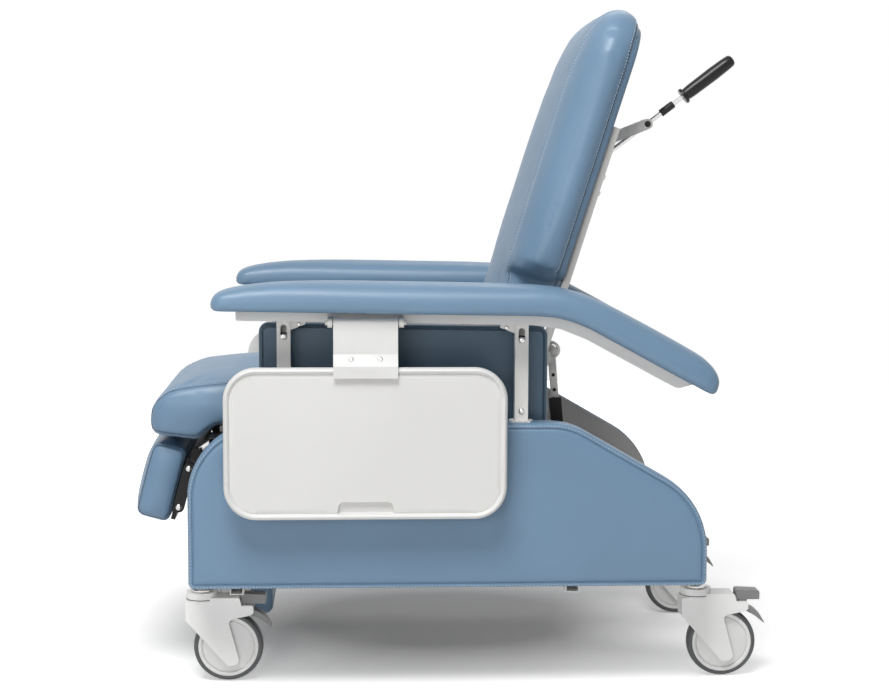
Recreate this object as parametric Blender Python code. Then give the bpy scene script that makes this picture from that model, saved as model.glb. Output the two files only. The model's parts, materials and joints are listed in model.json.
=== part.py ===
"""Medical recliner on four braked casters, with drop arms, fold-up side trays and a coupled leg rest.

The chair faces -X, the sitter's left is -Y and the floor is Z = 0. All sizes are in metres.
"""
from math import ceil, cos, degrees, hypot, pi, radians, sin, sqrt, tan

import bmesh
import bpy
from mathutils import Matrix, Vector

# Clearances, and how far joined shapes bite into each other and cutters run past a piece
SEAT_GAP = 0.0003
PIVOT_GAP = 0.0006
POST_GAP = 0.0006
BITE = 0.001
OVERRUN = 0.010
ON_PLANE = 0.0001

# Casters
WHEEL_RADIUS = 0.0635
WHEEL_WIDTH = 0.030
WHEEL_SIDE_GAP = 0.002
WHEEL_SIDES = 24
WHEEL_HUB_RADIUS = 0.014
WHEEL_RIM_RADIUS = 0.048
WHEEL_DISH = 0.006
TYRE_CORNER = 0.006
AXLE_RADIUS = 0.005
CASTER_TRAIL = 0.048
WHEELBASE = 0.909
FRONT_SWIVEL_X = -0.457
CASTER_HALF_TRACK = 0.240
FORK_LEG = 0.0065
FORK_FRONT = 0.0285
FORK_FRONT_WALL = 0.008
FORK_TOP = 0.149
FORK_RIDGE_TOP = 0.156
FORK_SHOULDER_Z = 0.115
FORK_TIP_Z = 0.029
FORK_TIP_WIDTH = 0.022
FORK_CORNER = 0.004
FORK_CAP_RADIUS = 0.028
FORK_CAP_TOP = 0.165
STEM_RADIUS = 0.011
STEM_END = 0.1505
TYRE_TOP_ROOM = 0.006
PEDAL_PIVOT = (0.085, 0.137)
PEDAL_PIN_RADIUS = 0.003
PEDAL_WIDTH = 0.029
PEDAL_ROOM_FRONT = 0.015
PEDAL_ROOM_REAR = 0.020
HORN_END = 0.0095
HORN_Z = (0.1235, 0.1415)
PEDAL_PAD_X = (-0.0115, 0.032)
PEDAL_PAD_Z = (0.0065, 0.025)
PEDAL_NECK_X = (-0.006, 0.0085)
PEDAL_TIP = (0.0445, -0.041)

# Base
FRAME_BOTTOM = 0.195
PANEL_FRONT = -0.4725
PANEL_REAR = 0.452
PANEL_BOTTOM = 0.1915
PANEL_TOP = 0.486
PANEL_SLOPE = 30.0
PANEL_KNEE_X = 0.203
PANEL_FOOT_CORNER = 0.012
PANEL_FRONT_CORNER = 0.130
PANEL_KNEE_CORNER = 0.120
PANEL_REAR_CORNER = 0.150
PANEL_OUTER = 0.352
PANEL_WALL = 0.010
PANEL_RIM = 0.012
PANEL_EDGE = 0.010
BOARD_INNER = 0.298
BOARD_THICKNESS = 0.009
BOARD_INSET = 0.0005
RAIL_WIDTH = 0.075
RAIL_END_INSET = 0.004
RAIL_HEIGHT = 0.028
CROSS_TUBE = 0.025
TUBE_WALL = 0.0025
LOWER_CROSS_FRONT_X = -0.390
APRON_HALF_WIDTH = 0.110
APRON_THICKNESS = 0.043
APRON_BOTTOM = 0.0825
APRON_EDGE = 0.014
APRON_TOP_CORNER = 0.016
APRON_FOOT_CORNER = 0.030

# Seat
SEAT_TUBE_TOP = 0.455
SEAT_CROSS_FRONT_X = -0.425
SEAT_CROSS_REAR_X = 0.178
SEAT_CROSS_REAR_WIDTH = 0.018
SEAT_CROSS_REAR_HEIGHT = 0.035
SEAT_BOARD_X = (-0.4235, 0.180)
SEAT_BOARD_HALF_WIDTH = 0.225
SEAT_BOARD_THICKNESS = 0.012
SEAT_FRONT = -0.5515
SEAT_REAR = 0.036
SEAT_HALF_WIDTH = 0.245
SEAT_TOP = 0.556
SEAT_CROWN = 0.006
SEAT_SIDE_BULGE = 0.004
SEAT_CROWN_RUN = 0.120
SEAT_FRONT_ROLL = 0.057
SEAT_REAR_ROLL = 0.030
SEAT_CORNER = 0.030
SEAT_FACE_RADIUS = 0.022
SEAT_FOOT_RADIUS = 0.014
SEAT_LIP_Z = (0.451, 0.440)
SEAT_LIP_DEPTH = 0.0895
SEAT_NOTCH_DEPTH = 0.1215

# Arms
ARM_OUTER = 0.410
ARM_PAD_WIDTH = 0.105
ARM_PAD_THICKNESS = 0.0515
ARM_FRONT = -0.4265
ARM_KNEE = (0.190, 0.6795)
ARM_SLOPE = 0.9
ARM_REAR_SLOPE = 28.4
ARM_REAR_LENGTH = 0.297
ARM_TURN = 0.050
ARM_NOSE = 0.170
ARM_NOSE_SHARE = 0.40
ARM_TAIL = 0.060
ARM_TAIL_SHARE = 0.34
ARM_END_CORNER = 0.020
ARM_CROWN_SHARE = 0.14
ARM_FACE_SHARE = 0.42
ARM_FOOT_SHARE = 0.12
ARM_END_LIFT = 0.12
RAIL_FRONT = -0.3855
RAIL_DEPTH = 0.020
RAIL_REAR_LENGTH = 0.262
RAIL_END_CORNER = 0.020
RAIL_FRONT_CORNER = 0.004
RAIL_CHANNEL_WIDTH = 0.042
RAIL_WALL = 0.0025
RAIL_TOP_GAP = 0.0009
RAIL_OFFSET = 0.001
POST_SIZE = 0.024
POST_WALL = 0.002
POST_Y = 0.3245
ARM_DROP = 0.130
POST_FOOT_ROOM = 0.008
POST_X = {"front": -0.3025, "rear": 0.117}
POST_SLOT_WIDTH = 0.011
POST_SLOT_HEIGHT = 0.026
POST_SLOT_DROP = 0.006
GUSSET_LENGTH = 0.026
GUSSET_HEIGHT = 0.016
GUSSET_INSET = 0.003
POST_BOSS = (0.002, 0.020)
POST_CAP = 0.003
GUIDE_WALL = 0.0024
GUIDE_DEPTH = 0.085
GUIDE_FLANGE_REACH = (0.006, 0.002)
GUIDE_FLANGE_THICKNESS = 0.004
GUIDE_FLANGE_ROUND = 0.95
LATCH_PIN_RADIUS = 0.0049
LATCH_HEAD_RADIUS = 0.0055
LATCH_HEAD_THICKNESS = 0.003
LATCH_ROD_RADIUS = 0.006
LATCH_ROD_LENGTH = 0.200
INNER_PANEL_X = (-0.3485, 0.168)
INNER_PANEL_BOTTOM = 0.440
INNER_PANEL_THICKNESS = 0.0265
INNER_PANEL_INNER = 0.268
INNER_PANEL_DROP = 0.006
INNER_PANEL_CORNER = 0.020
INNER_PANEL_EDGE = 0.006

# Side trays
TRAY_CENTRE = (-0.159, 0.458)
TRAY_SIZE = (0.493, 0.266)
TRAY_CORNER = 0.057
TRAY_THICKNESS = 0.020
TRAY_OUTER = 0.4032
TRAY_RIM = 0.0115
TRAY_RECESS = 0.004
TRAY_GRIP_WIDTH = 0.099
TRAY_GRIP_HEIGHT = 0.021
TRAY_GRIP_RISE = 0.010
TRAY_GRIP_DEPTH = 0.011
TRAY_GRIP_TAPER = 0.004
TRAY_GRIP_CORNER = 0.003
TRAY_HINGE = (0.385, 0.668)
TRAY_HINGE_RADIUS = 0.004
KNUCKLE_RADIUS = 0.0085
BRACKET_WIDTH = 0.112
BRACKET_SHEET = 0.003
BRACKET_CREASE_Z = 0.614
BRACKET_LIP_Z = 0.594
BRACKET_BOTTOM_Z = 0.573
HINGE_LUG = 0.008
HINGE_LUG_GAP = 0.002
HINGE_LUG_ROUND = 0.9
HINGE_ROD_END = 0.004

# Back
BACK_PIVOT = (0.140, 0.556)
BACK_LEAN = 17.6
BACK_PIN_RADIUS = 0.006
BACK_EAR_INNER = 0.228
BACK_EAR_THICKNESS = 0.008
BACK_EAR_RADIUS = 0.020
BACK_HEIGHT = 0.684
BACK_FOOT = -0.009
BACK_BOLSTER_FOOT = 0.172
BACK_HALF_WIDTH = 0.232
BACK_NECK_HALF_WIDTH = 0.180
BACK_FRONT = 0.0925
BACK_REAR = -0.0076
BACK_CROWN = 0.007
BACK_CROWN_RUN = 0.120
BACK_BULGE = 0.004
BACK_TOP_CORNER = 0.085
BACK_END_RADIUS = 0.030
BACK_FACE_RUN = 0.062
BACK_FACE_RADIUS = 0.040
BACK_REAR_RADIUS = 0.018
BACK_SHOULDER = 0.030
BACK_HEAD_START = 0.480
BACK_HEAD_SET_BACK = 0.016
BACK_BOARD_THICKNESS = 0.012
BACK_BOARD_INSET = 0.014
BACK_BOARD_FOOT_CORNER = 0.010
BACK_BOARD_SHOULDER_CORNER = 0.020
UPRIGHT_HALF_SPACING = 0.200
UPRIGHT_WIDTH = 0.024
UPRIGHT_DEPTH = 0.013
UPRIGHT_WALL = 0.0025
UPRIGHT_FOOT = 0.010
UPRIGHT_TOP = 0.480
PIVOT_PLATE_UP = 0.030
PIVOT_PLATE_RADIUS = 0.016
STRUT_LUG_UP = 0.050
STRUT_LUG_RADIUS = 0.009
HANDLE_BAR_U = (0.439, 0.469)
HANDLE_BAR_DEPTH = 0.012
HANDLE_STRAP_WIDTH = 0.020
HANDLE_STRAP_THICKNESS = 0.005
RELEASE_PIVOT = (0.3875, 1.0205)
RELEASE_PIN_RADIUS = 0.0035
RELEASE_ROD_RADIUS = 0.0045
RELEASE_ANGLE = 37.3
RELEASE_ROD_BELOW = 0.088
RELEASE_ROD_ABOVE = 0.190
RELEASE_EYE_RADIUS = 0.008
GRIP_START = 0.087
GRIP_LENGTH = 0.1205
GRIP_RADIUS = 0.0130
GRIP_FLANGE = 0.003
GRIP_TIP_HOLE = 0.0008
CLEVIS_U = (0.397, 0.441)
CLEVIS_HALF_WIDTH = 0.022
CLEVIS_DEPTH = 0.026

# Recline strut
STRUT_Y = -0.172
STRUT_FOOT = (0.216, 0.262)
STRUT_HEAD = (0.187, 0.600)
STRUT_TUBE = 0.022
STRUT_TUBE_LENGTH = 0.250
STRUT_BAR_WIDTH = 0.014
STRUT_BAR_THICKNESS = 0.006
STRUT_BAR_REACH = 0.130
STRUT_STROKE_ROOM = 0.135
STRUT_EYE_WIDTH = 0.0215
STRUT_PIN_RADIUS = 0.005
STRUT_HEAD_PLAY = 0.006
STRUT_EYE_WALL = 0.005
STRUT_LUG_THICKNESS = 0.008

# Leg rest
LEG_HANGER_PIVOT = (-0.468, 0.412)
LEG_KNEE_PIVOT = (-0.360, 0.245)
LEG_PAD_PIVOT = (-0.4805, 0.387)
LEG_PAD_LOWER_BOLT = (-0.4995, 0.316)
LEG_BAR_WIDTH = 0.020
LEG_BAR_THICKNESS = 0.006
LEG_LAYER_GAP = 0.002
LEG_HANGER_INNER = 0.190
LEG_PIN_RADIUS = 0.005
LEG_BOARD_THICKNESS = 0.008
LEG_BOARD_SET_BACK = 0.0005
LEG_BOARD_HALF_WIDTH = 0.205
LEG_PAD_HALF_WIDTH = 0.222
LEG_PAD_THICKNESS = 0.0705
LEG_PAD_CROWN = 0.0055
LEG_PAD_CROWN_RUN = 0.080
LEG_PAD_BULGE = 0.002
LEG_PAD_REACH = (-0.034, 0.107)
LEG_PAD_CORNER = 0.012
LEG_PAD_FACE_RADIUS = 0.014
LEG_PAD_REAR_RADIUS = 0.010
LEG_BOARD_INSETS = (0.018, 0.006)
LEG_WEB = (0.030, 0.066)

SIDES = {"left": -1, "right": 1}
ENDS = ("front", "rear")
ARC_STEP = 20.0

# Sizes worked out from the ones above
BOARD_OUTER = BOARD_INNER + BOARD_THICKNESS
PANEL_INNER = BOARD_OUTER + SEAT_GAP
POCKET_OUTER = PANEL_OUTER - PANEL_WALL
CASTER_RAIL_TOP = FRAME_BOTTOM + RAIL_HEIGHT
CASTER_RAIL_OUTER = BOARD_INNER - SEAT_GAP
CASTER_RAIL_INNER = CASTER_RAIL_OUTER - RAIL_WIDTH
SWIVEL_X = {"front": FRONT_SWIVEL_X, "rear": FRONT_SWIVEL_X + WHEELBASE}
FORK_SLOT = WHEEL_WIDTH / 2 + WHEEL_SIDE_GAP
FORK_HALF_WIDTH = FORK_SLOT + FORK_LEG
SEAT_BOARD_BOTTOM = SEAT_TUBE_TOP + SEAT_GAP
SEAT_BOTTOM = SEAT_BOARD_BOTTOM + SEAT_BOARD_THICKNESS + SEAT_GAP
ARM_Y = ARM_OUTER - ARM_PAD_WIDTH / 2
GUIDE_SLEEVE = POST_SIZE + 2 * (POST_GAP + GUIDE_WALL)
POST_BOTTOM = PANEL_BOTTOM + PANEL_RIM + ARM_DROP + POST_FOOT_ROOM
ARM_TURN_RADIUS = ARM_TURN / tan(radians((ARM_REAR_SLOPE - ARM_SLOPE) / 2))
UPRIGHT_INNER = UPRIGHT_HALF_SPACING - UPRIGHT_WIDTH / 2
UPRIGHT_OUTER = UPRIGHT_HALF_SPACING + UPRIGHT_WIDTH / 2
UPRIGHT_FRONT = BACK_REAR - SEAT_GAP
UPRIGHT_BACK = UPRIGHT_FRONT - UPRIGHT_DEPTH
BACK_UP = Vector((sin(radians(BACK_LEAN)), cos(radians(BACK_LEAN))))
BACK_AHEAD = Vector((-cos(radians(BACK_LEAN)), sin(radians(BACK_LEAN))))
RELEASE_ALONG = Vector((cos(radians(RELEASE_ANGLE)), sin(radians(RELEASE_ANGLE))))


def clear_scene():
    for item in list(bpy.data.objects):
        bpy.data.objects.remove(item, do_unlink=True)


def material(name, colour, roughness, metallic=0.0):
    made = bpy.data.materials.new(name)
    made.use_nodes = True
    shader = made.node_tree.nodes["Principled BSDF"]
    shader.inputs["Base Color"].default_value = (*colour, 1.0)
    shader.inputs["Roughness"].default_value = roughness
    shader.inputs["Metallic"].default_value = metallic
    return made


def make_materials():
    return {
        "vinyl": material("blue_vinyl", (0.13, 0.25, 0.42), 0.45),
        "frame": material("light_grey_paint", (0.62, 0.61, 0.58), 0.45),
        "tray": material("off_white_plastic", (0.76, 0.76, 0.74), 0.40),
        "board": material("grey_board", (0.16, 0.16, 0.16), 0.60),
        "black": material("black_steel", (0.02, 0.02, 0.02), 0.50),
        "steel": material("bright_steel", (0.62, 0.62, 0.62), 0.25, 1.0),
        "wheel": material("grey_wheel", (0.55, 0.55, 0.55), 0.45),
        "rubber": material("black_rubber", (0.015, 0.015, 0.016), 0.60),
    }


# Outlines are lists of two-number points, anticlockwise seen with the second axis up


def rounded(corners):
    """An outline through corners (a, b, radius), each turned into an arc."""
    outline = []
    for index, (a, b, radius) in enumerate(corners):
        here = Vector((a, b))
        behind = (Vector(corners[index - 1][:2]) - here).normalized()
        ahead = (Vector(corners[(index + 1) % len(corners)][:2]) - here).normalized()
        if radius <= 0:
            outline.append(here)
            continue
        half = behind.angle(ahead) / 2
        centre = here + (behind + ahead).normalized() * (radius / sin(half))
        arm = here + behind * (radius / tan(half)) - centre
        turn = 1 if behind.x * ahead.y - behind.y * ahead.x < 0 else -1
        sweep = pi - 2 * half
        parts = max(2, ceil(degrees(sweep) / ARC_STEP))
        for part in range(parts + 1):
            outline.append(centre + Matrix.Rotation(turn * sweep * part / parts, 2) @ arm)
    return [tuple(point) for point in outline]


def moved_in(corners, distance):
    """The same corners with every edge moved inward by a distance."""
    result = []
    for index, (a, b, radius) in enumerate(corners):
        here = Vector((a, b))
        coming = (here - Vector(corners[index - 1][:2])).normalized()
        going = (Vector(corners[(index + 1) % len(corners)][:2]) - here).normalized()
        left_before = Vector((-coming.y, coming.x))
        left_after = Vector((-going.y, going.x))
        shift = (left_before + left_after) * (distance / (1 + left_before.dot(left_after)))
        result.append((here.x + shift.x, here.y + shift.y, max(radius - distance, 0)))
    return result


def rectangle(low, high, radius=0.0):
    return rounded([
        (low[0], low[1], radius),
        (high[0], low[1], radius),
        (high[0], high[1], radius),
        (low[0], high[1], radius),
    ])


def bar_outline(start, end, half_width):
    """A flat bar with round ends, centred on two pivots."""
    start = Vector(start)
    end = Vector(end)
    along = (end - start).normalized()
    side = Vector((along.y, -along.x)) * half_width
    parts = ceil(180 / ARC_STEP)
    outline = []
    for centre, first in ((start, -side), (end, side)):
        for part in range(parts + 1):
            outline.append(tuple(centre + Matrix.Rotation(pi * part / parts, 2) @ first))
    return outline


def circle_outline(centre, radius, sides=24):
    return [(centre[0] + radius * cos(2 * pi * k / sides), centre[1] + radius * sin(2 * pi * k / sides))
            for k in range(sides)]


# Solids are made in world coordinates and moved to their body's pivot when they are placed


def new_object(name, shape):
    bmesh.ops.recalc_face_normals(shape, faces=shape.faces)
    mesh = bpy.data.meshes.new(name)
    shape.to_mesh(mesh)
    shape.free()
    item = bpy.data.objects.new(name, mesh)
    bpy.context.scene.collection.objects.link(item)
    return item


def prism(name, outline, axis, low, high):
    """An outline extruded along x, y or z from low to high."""
    order = {
        "x": lambda a, b, depth: (depth, a, b),
        "y": lambda a, b, depth: (a, depth, b),
        "z": lambda a, b, depth: (a, b, depth),
    }[axis]
    shape = bmesh.new()
    face = shape.faces.new([shape.verts.new(order(a, b, low)) for a, b in outline])
    grown = bmesh.ops.extrude_face_region(shape, geom=[face])["geom"]
    moved = [part for part in grown if isinstance(part, bmesh.types.BMVert)]
    bmesh.ops.translate(shape, vec=order(0, 0, high - low), verts=moved)
    return new_object(name, shape)


def block(name, x, y, z):
    return prism(name, rectangle((x[0], y[0]), (x[1], y[1])), "z", z[0], z[1])


def rod(name, start, end, radius, sides=16):
    """A round bar between two points."""
    start = Vector(start)
    along = Vector(end) - start
    turn = along.to_track_quat("Z", "Y").to_matrix().to_4x4()
    shape = bmesh.new()
    bmesh.ops.create_cone(
        shape, cap_ends=True, segments=sides, radius1=radius, radius2=radius, depth=along.length,
        matrix=Matrix.Translation(start + along / 2) @ turn)
    return new_object(name, shape)


def turned(name, profile, centre, axis, sides):
    """A closed profile of (radius, height) points spun once round an axis."""
    axis = Vector(axis)
    turn = axis.to_track_quat("Z", "Y").to_matrix().to_4x4()
    place = Matrix.Translation(centre) @ turn
    shape = bmesh.new()
    rings = []
    for side in range(sides):
        angle = 2 * pi * side / sides
        rings.append([shape.verts.new(place @ Vector((r * cos(angle), r * sin(angle), h)))
                      for r, h in profile])
    for side in range(sides):
        here = rings[side]
        there = rings[(side + 1) % sides]
        for k in range(len(profile)):
            after = (k + 1) % len(profile)
            shape.faces.new((here[k], here[after], there[after], there[k]))
    return new_object(name, shape)


def lofted(name, rings):
    """Rings of points joined into a skin and closed at both ends."""
    shape = bmesh.new()
    loops = [[shape.verts.new(point) for point in ring] for ring in rings]
    for here, there in zip(loops, loops[1:]):
        for k in range(len(here)):
            after = (k + 1) % len(here)
            shape.faces.new((here[k], here[after], there[after], there[k]))
    shape.faces.new(list(reversed(loops[0])))
    shape.faces.new(loops[-1])
    return new_object(name, shape)


def combine(target, tool, operation):
    """Apply one Boolean to a piece and remove its tool."""
    change = target.modifiers.new(operation.lower(), "BOOLEAN")
    change.operation = operation
    change.solver = "EXACT"
    change.object = tool
    graph = bpy.context.evaluated_depsgraph_get()
    result = bpy.data.meshes.new_from_object(target.evaluated_get(graph))
    target.modifiers.clear()
    target.data = result
    bpy.data.objects.remove(tool, do_unlink=True)
    return target


def cut(target, tool):
    return combine(target, tool, "DIFFERENCE")


def join(target, tool):
    return combine(target, tool, "UNION")


def soften(item, width, segments, wanted):
    """Bevel the edges whose two ends both pass a test."""
    shape = bmesh.new()
    shape.from_mesh(item.data)
    edges = [edge for edge in shape.edges if all(wanted(vertex.co) for vertex in edge.verts)]
    bmesh.ops.bevel(shape, geom=edges, offset=width, segments=segments, profile=0.5, affect="EDGES")
    shape.to_mesh(item.data)
    shape.free()
    return item


def place(item, body, finish):
    """Hang a piece on its body's empty and give it its material."""
    empty = bpy.data.objects[body]
    item.data.transform(Matrix.Translation(-empty.matrix_world.translation))
    item.parent = empty
    item.data.materials.clear()
    item.data.materials.append(finish)
    item.data.shade_smooth()
    item.data.set_sharp_from_angle(angle=radians(35))
    return item


def add_body(name, pivot, parent=None):
    """An empty on a joint's axis that carries the pieces of one moving body."""
    empty = bpy.data.objects.new(name, None)
    bpy.context.scene.collection.objects.link(empty)
    origin = Vector((0, 0, 0))
    if parent is not None:
        empty.parent = bpy.data.objects[parent]
        origin = empty.parent.matrix_world.translation
    empty.location = Vector(pivot) - origin
    bpy.context.view_layer.update()
    return empty


def span(side, low, high):
    """A range of y on the left or right half, in rising order."""
    return tuple(sorted((SIDES[side] * low, SIDES[side] * high)))


def edge_loss(depth, radius):
    """How far a rounded edge has drawn in at a depth behind its end."""
    if depth >= radius:
        return 0.0
    return radius - sqrt(radius ** 2 - (radius - depth) ** 2)


def section(half_width, low, high, face_radius, back_radius, crown, bulge, face_run=None):
    """A cushion's cross-section: flat back, bulging sides and crowned face, as (across, out) points.

    The face corners are arcs, or half ellipses where they run further across than they are deep.
    """
    outline = []
    corners = (
        (-half_width, low, back_radius, back_radius),
        (half_width, low, back_radius, back_radius),
        (half_width, high, face_run or face_radius, face_radius),
        (-half_width, high, face_run or face_radius, face_radius),
    )
    middle = (low + high) / 2
    half = (high - low) / 2
    largest = 0.98
    arc_parts = 3
    face_parts = 6
    side_sign = (-1, 1, 1, -1)
    for index, (a, b, run, depth) in enumerate(corners):
        run = min(run, half_width * largest)
        depth = min(depth, half * largest)
        centre_a = a - side_sign[index] * run
        centre_b = b + depth if index < 2 else b - depth
        for part in range(arc_parts + 1):
            angle = pi + (pi / 2) * (index + part / arc_parts)
            outline.append((centre_a + run * cos(angle), centre_b + depth * sin(angle)))
        if index == 2:
            reach = half_width - run
            for part in range(1, face_parts):
                outline.append((reach * (1 - 2 * part / face_parts), high))
    shaped = []
    for a, b in outline:
        share = (b - low) / (high - low)
        swell = 1 - ((b - middle) / half) ** 2
        lift = crown * (1 - (a / half_width) ** 2) * share ** 2
        shaped.append((a * (1 + bulge * swell / half_width), b + lift))
    return shaped


# Casters


def wheel_profile():
    """Half-section of the wheel from its bore to its tread, as (radius, offset) points."""
    half = WHEEL_WIDTH / 2
    bore = AXLE_RADIUS + PIVOT_GAP
    web = half - WHEEL_DISH
    shoulder = WHEEL_RADIUS - TYRE_CORNER
    outer = [
        (bore, half),
        (WHEEL_HUB_RADIUS, half),
        (WHEEL_HUB_RADIUS + TYRE_CORNER / 2, web),
        (WHEEL_RIM_RADIUS, web),
        (WHEEL_RIM_RADIUS + TYRE_CORNER / 2, half - TYRE_CORNER / 3),
        (shoulder, half - TYRE_CORNER / 6),
        (WHEEL_RADIUS - TYRE_CORNER / 4, half - TYRE_CORNER),
        (WHEEL_RADIUS, half - 2 * TYRE_CORNER),
    ]
    return outer + [(radius, -offset) for radius, offset in reversed(outer)]


def fork_outline(x):
    """Side view of the fork: front edge, leg leaning back past the axle, pedal horn and top ridge."""
    horn = PEDAL_PIVOT[0]
    axle = CASTER_TRAIL
    horn_low, horn_high = HORN_Z
    corner = FORK_CORNER
    corners = [
        (-FORK_FRONT, FORK_TOP, corner),
        (-FORK_FRONT, FORK_SHOULDER_Z, corner),
        (axle, FORK_TIP_Z, 1.5 * corner),
        (axle + FORK_TIP_WIDTH, FORK_TIP_Z + corner, 2.5 * corner),
        (axle, FORK_SHOULDER_Z, 2 * corner),
        (horn + corner, horn_low, corner / 2),
        (horn + HORN_END, horn_low + corner, corner / 2),
        (horn + HORN_END, horn_high, corner),
        (horn - 3 * corner, horn_high, 0.0),
        (horn - 4 * corner, FORK_RIDGE_TOP, corner),
        (0.0, FORK_RIDGE_TOP, 0.0),
        (0.0, FORK_TOP, 0.0),
    ]
    return [(x + a, b) for a, b in rounded(corners)]


def pedal_outline(x):
    """Side view of the brake pedal: the pressed pad, the neck on its pin and the curved release blade."""
    pad_front, pad_rear = PEDAL_PAD_X
    pad_low, pad_high = PEDAL_PAD_Z
    neck_front, neck_rear = PEDAL_NECK_X
    tip_x, tip_z = PEDAL_TIP
    corner = FORK_CORNER / 2
    corners = [
        (pad_front, pad_low, corner),
        (neck_front, pad_low, 0.0),
        (neck_front, -corner, corner),
        (tip_x * 0.05, tip_z * 0.30, corner),
        (tip_x * 0.51, tip_z * 0.57, 10 * corner),
        (tip_x, tip_z, corner / 2),
        (tip_x * 0.66, tip_z * 0.38, 10 * corner),
        (neck_rear, -2 * corner, corner),
        (neck_rear, pad_low, 0.0),
        (pad_rear, pad_low, corner),
        (pad_rear, pad_high - corner, 2 * corner),
        (pad_front, pad_high, 2 * corner),
    ]
    return [(x + PEDAL_PIVOT[0] + a, PEDAL_PIVOT[1] + b) for a, b in rounded(corners)]


def make_caster(end, side, finishes):
    x = SWIVEL_X[end]
    y = SIDES[side] * CASTER_HALF_TRACK
    wheel_x = x + CASTER_TRAIL
    pivot_x = x + PEDAL_PIVOT[0]
    pivot_z = PEDAL_PIVOT[1]
    tag = end + "_" + side
    fork_body = "caster_swivel_" + tag
    add_body(fork_body, (x, y, FORK_CAP_TOP), "base")
    add_body("caster_spin_" + tag, (wheel_x, y, WHEEL_RADIUS), fork_body)
    add_body("caster_brake_" + tag, (pivot_x, y, pivot_z), fork_body)

    fork = prism("caster_fork_" + tag, fork_outline(x), "y", y - FORK_HALF_WIDTH, y + FORK_HALF_WIDTH)
    slot_y = (y - FORK_SLOT, y + FORK_SLOT)
    wheel_room = (x - FORK_FRONT + FORK_FRONT_WALL, wheel_x + WHEEL_RADIUS)
    wheel_top = 2 * WHEEL_RADIUS + TYRE_TOP_ROOM
    cut(fork, block("wheel_slot", wheel_room, slot_y, (0.0, wheel_top)))
    pedal_room = (pivot_x - PEDAL_ROOM_FRONT, pivot_x + PEDAL_ROOM_REAR)
    cut(fork, block("pedal_slot", pedal_room, slot_y, (WHEEL_RADIUS, FORK_RIDGE_TOP + OVERRUN)))
    join(fork, rod("fork_cap", (x, y, FORK_TOP - BITE), (x, y, FORK_CAP_TOP), FORK_CAP_RADIUS, 24))
    bore_radius = STEM_RADIUS + PIVOT_GAP
    bore_floor = STEM_END - PIVOT_GAP
    cut(fork, rod("stem_bore", (x, y, bore_floor), (x, y, FORK_CAP_TOP + OVERRUN), bore_radius, 16))
    across = FORK_SLOT + FORK_LEG / 2
    for pin_x, pin_z, radius in ((wheel_x, WHEEL_RADIUS, AXLE_RADIUS), (pivot_x, pivot_z, PEDAL_PIN_RADIUS)):
        join(fork, rod("fork_pin", (pin_x, y - across, pin_z), (pin_x, y + across, pin_z), radius, 12))
    place(fork, fork_body, finishes["tray"])

    hub = (wheel_x, y, WHEEL_RADIUS)
    wheel = turned("caster_wheel_" + tag, wheel_profile(), hub, (0, 1, 0), WHEEL_SIDES)
    place(wheel, "caster_spin_" + tag, finishes["wheel"])

    half = PEDAL_WIDTH / 2
    reach = half + OVERRUN
    pedal = prism("caster_pedal_" + tag, pedal_outline(x), "y", y - half, y + half)
    pin_bore = PEDAL_PIN_RADIUS + PIVOT_GAP
    cut(pedal, rod("pin_bore", (pivot_x, y - reach, pivot_z), (pivot_x, y + reach, pivot_z), pin_bore, 12))
    place(pedal, "caster_brake_" + tag, finishes["black"])


# Base


def panel_corners():
    """Side panel outline: upright front, level top, rear slope and upright rear."""
    slope = tan(radians(PANEL_SLOPE))
    slope_foot_z = PANEL_TOP - (PANEL_REAR - PANEL_KNEE_X) * slope
    return [
        (PANEL_FRONT, PANEL_BOTTOM, PANEL_FOOT_CORNER),
        (PANEL_REAR, PANEL_BOTTOM, PANEL_FOOT_CORNER),
        (PANEL_REAR, slope_foot_z, PANEL_REAR_CORNER),
        (PANEL_KNEE_X, PANEL_TOP, PANEL_KNEE_CORNER),
        (PANEL_FRONT, PANEL_TOP, PANEL_FRONT_CORNER),
    ]


def make_side(side, finishes):
    board_corners = moved_in(panel_corners(), BOARD_INSET)
    board = prism("side_board_" + side, rounded(board_corners), "y", *span(side, BOARD_INNER, BOARD_OUTER))
    place(board, "base", finishes["board"])

    outline = rounded(panel_corners())
    panel = prism("side_panel_" + side, outline, "y", *span(side, PANEL_INNER, PANEL_OUTER))
    soften(panel, PANEL_EDGE, 3, lambda point: abs(point.y) > PANEL_OUTER - ON_PLANE)
    pocket = rounded(moved_in(panel_corners(), PANEL_RIM))
    cut(panel, prism("pocket", pocket, "y", *span(side, PANEL_INNER - OVERRUN, POCKET_OUTER)))
    half = GUIDE_SLEEVE / 2 + SEAT_GAP
    for x in POST_X.values():
        cut(panel, block("guide_hole", (x - half, x + half), span(side, POST_Y - half, POST_Y + half),
                         (PANEL_TOP - 2 * PANEL_RIM, PANEL_TOP + OVERRUN)))
    place(panel, "base", finishes["vinyl"])

    for end in ENDS:
        make_post_guide(end, side, finishes)

    rail = block("caster_rail_" + side, (PANEL_FRONT + RAIL_END_INSET, PANEL_REAR - RAIL_END_INSET),
                 span(side, CASTER_RAIL_INNER, CASTER_RAIL_OUTER), (FRAME_BOTTOM, CASTER_RAIL_TOP))
    cut(rail, block("channel", (PANEL_FRONT, PANEL_REAR),
                    span(side, CASTER_RAIL_INNER - OVERRUN, CASTER_RAIL_OUTER - TUBE_WALL),
                    (FRAME_BOTTOM + TUBE_WALL, CASTER_RAIL_TOP - TUBE_WALL)))
    y = SIDES[side] * CASTER_HALF_TRACK
    stem_top = CASTER_RAIL_TOP - TUBE_WALL / 2
    for x in SWIVEL_X.values():
        join(rail, rod("stem", (x, y, STEM_END), (x, y, stem_top), STEM_RADIUS, 16))
    place(rail, "base", finishes["frame"])


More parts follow.
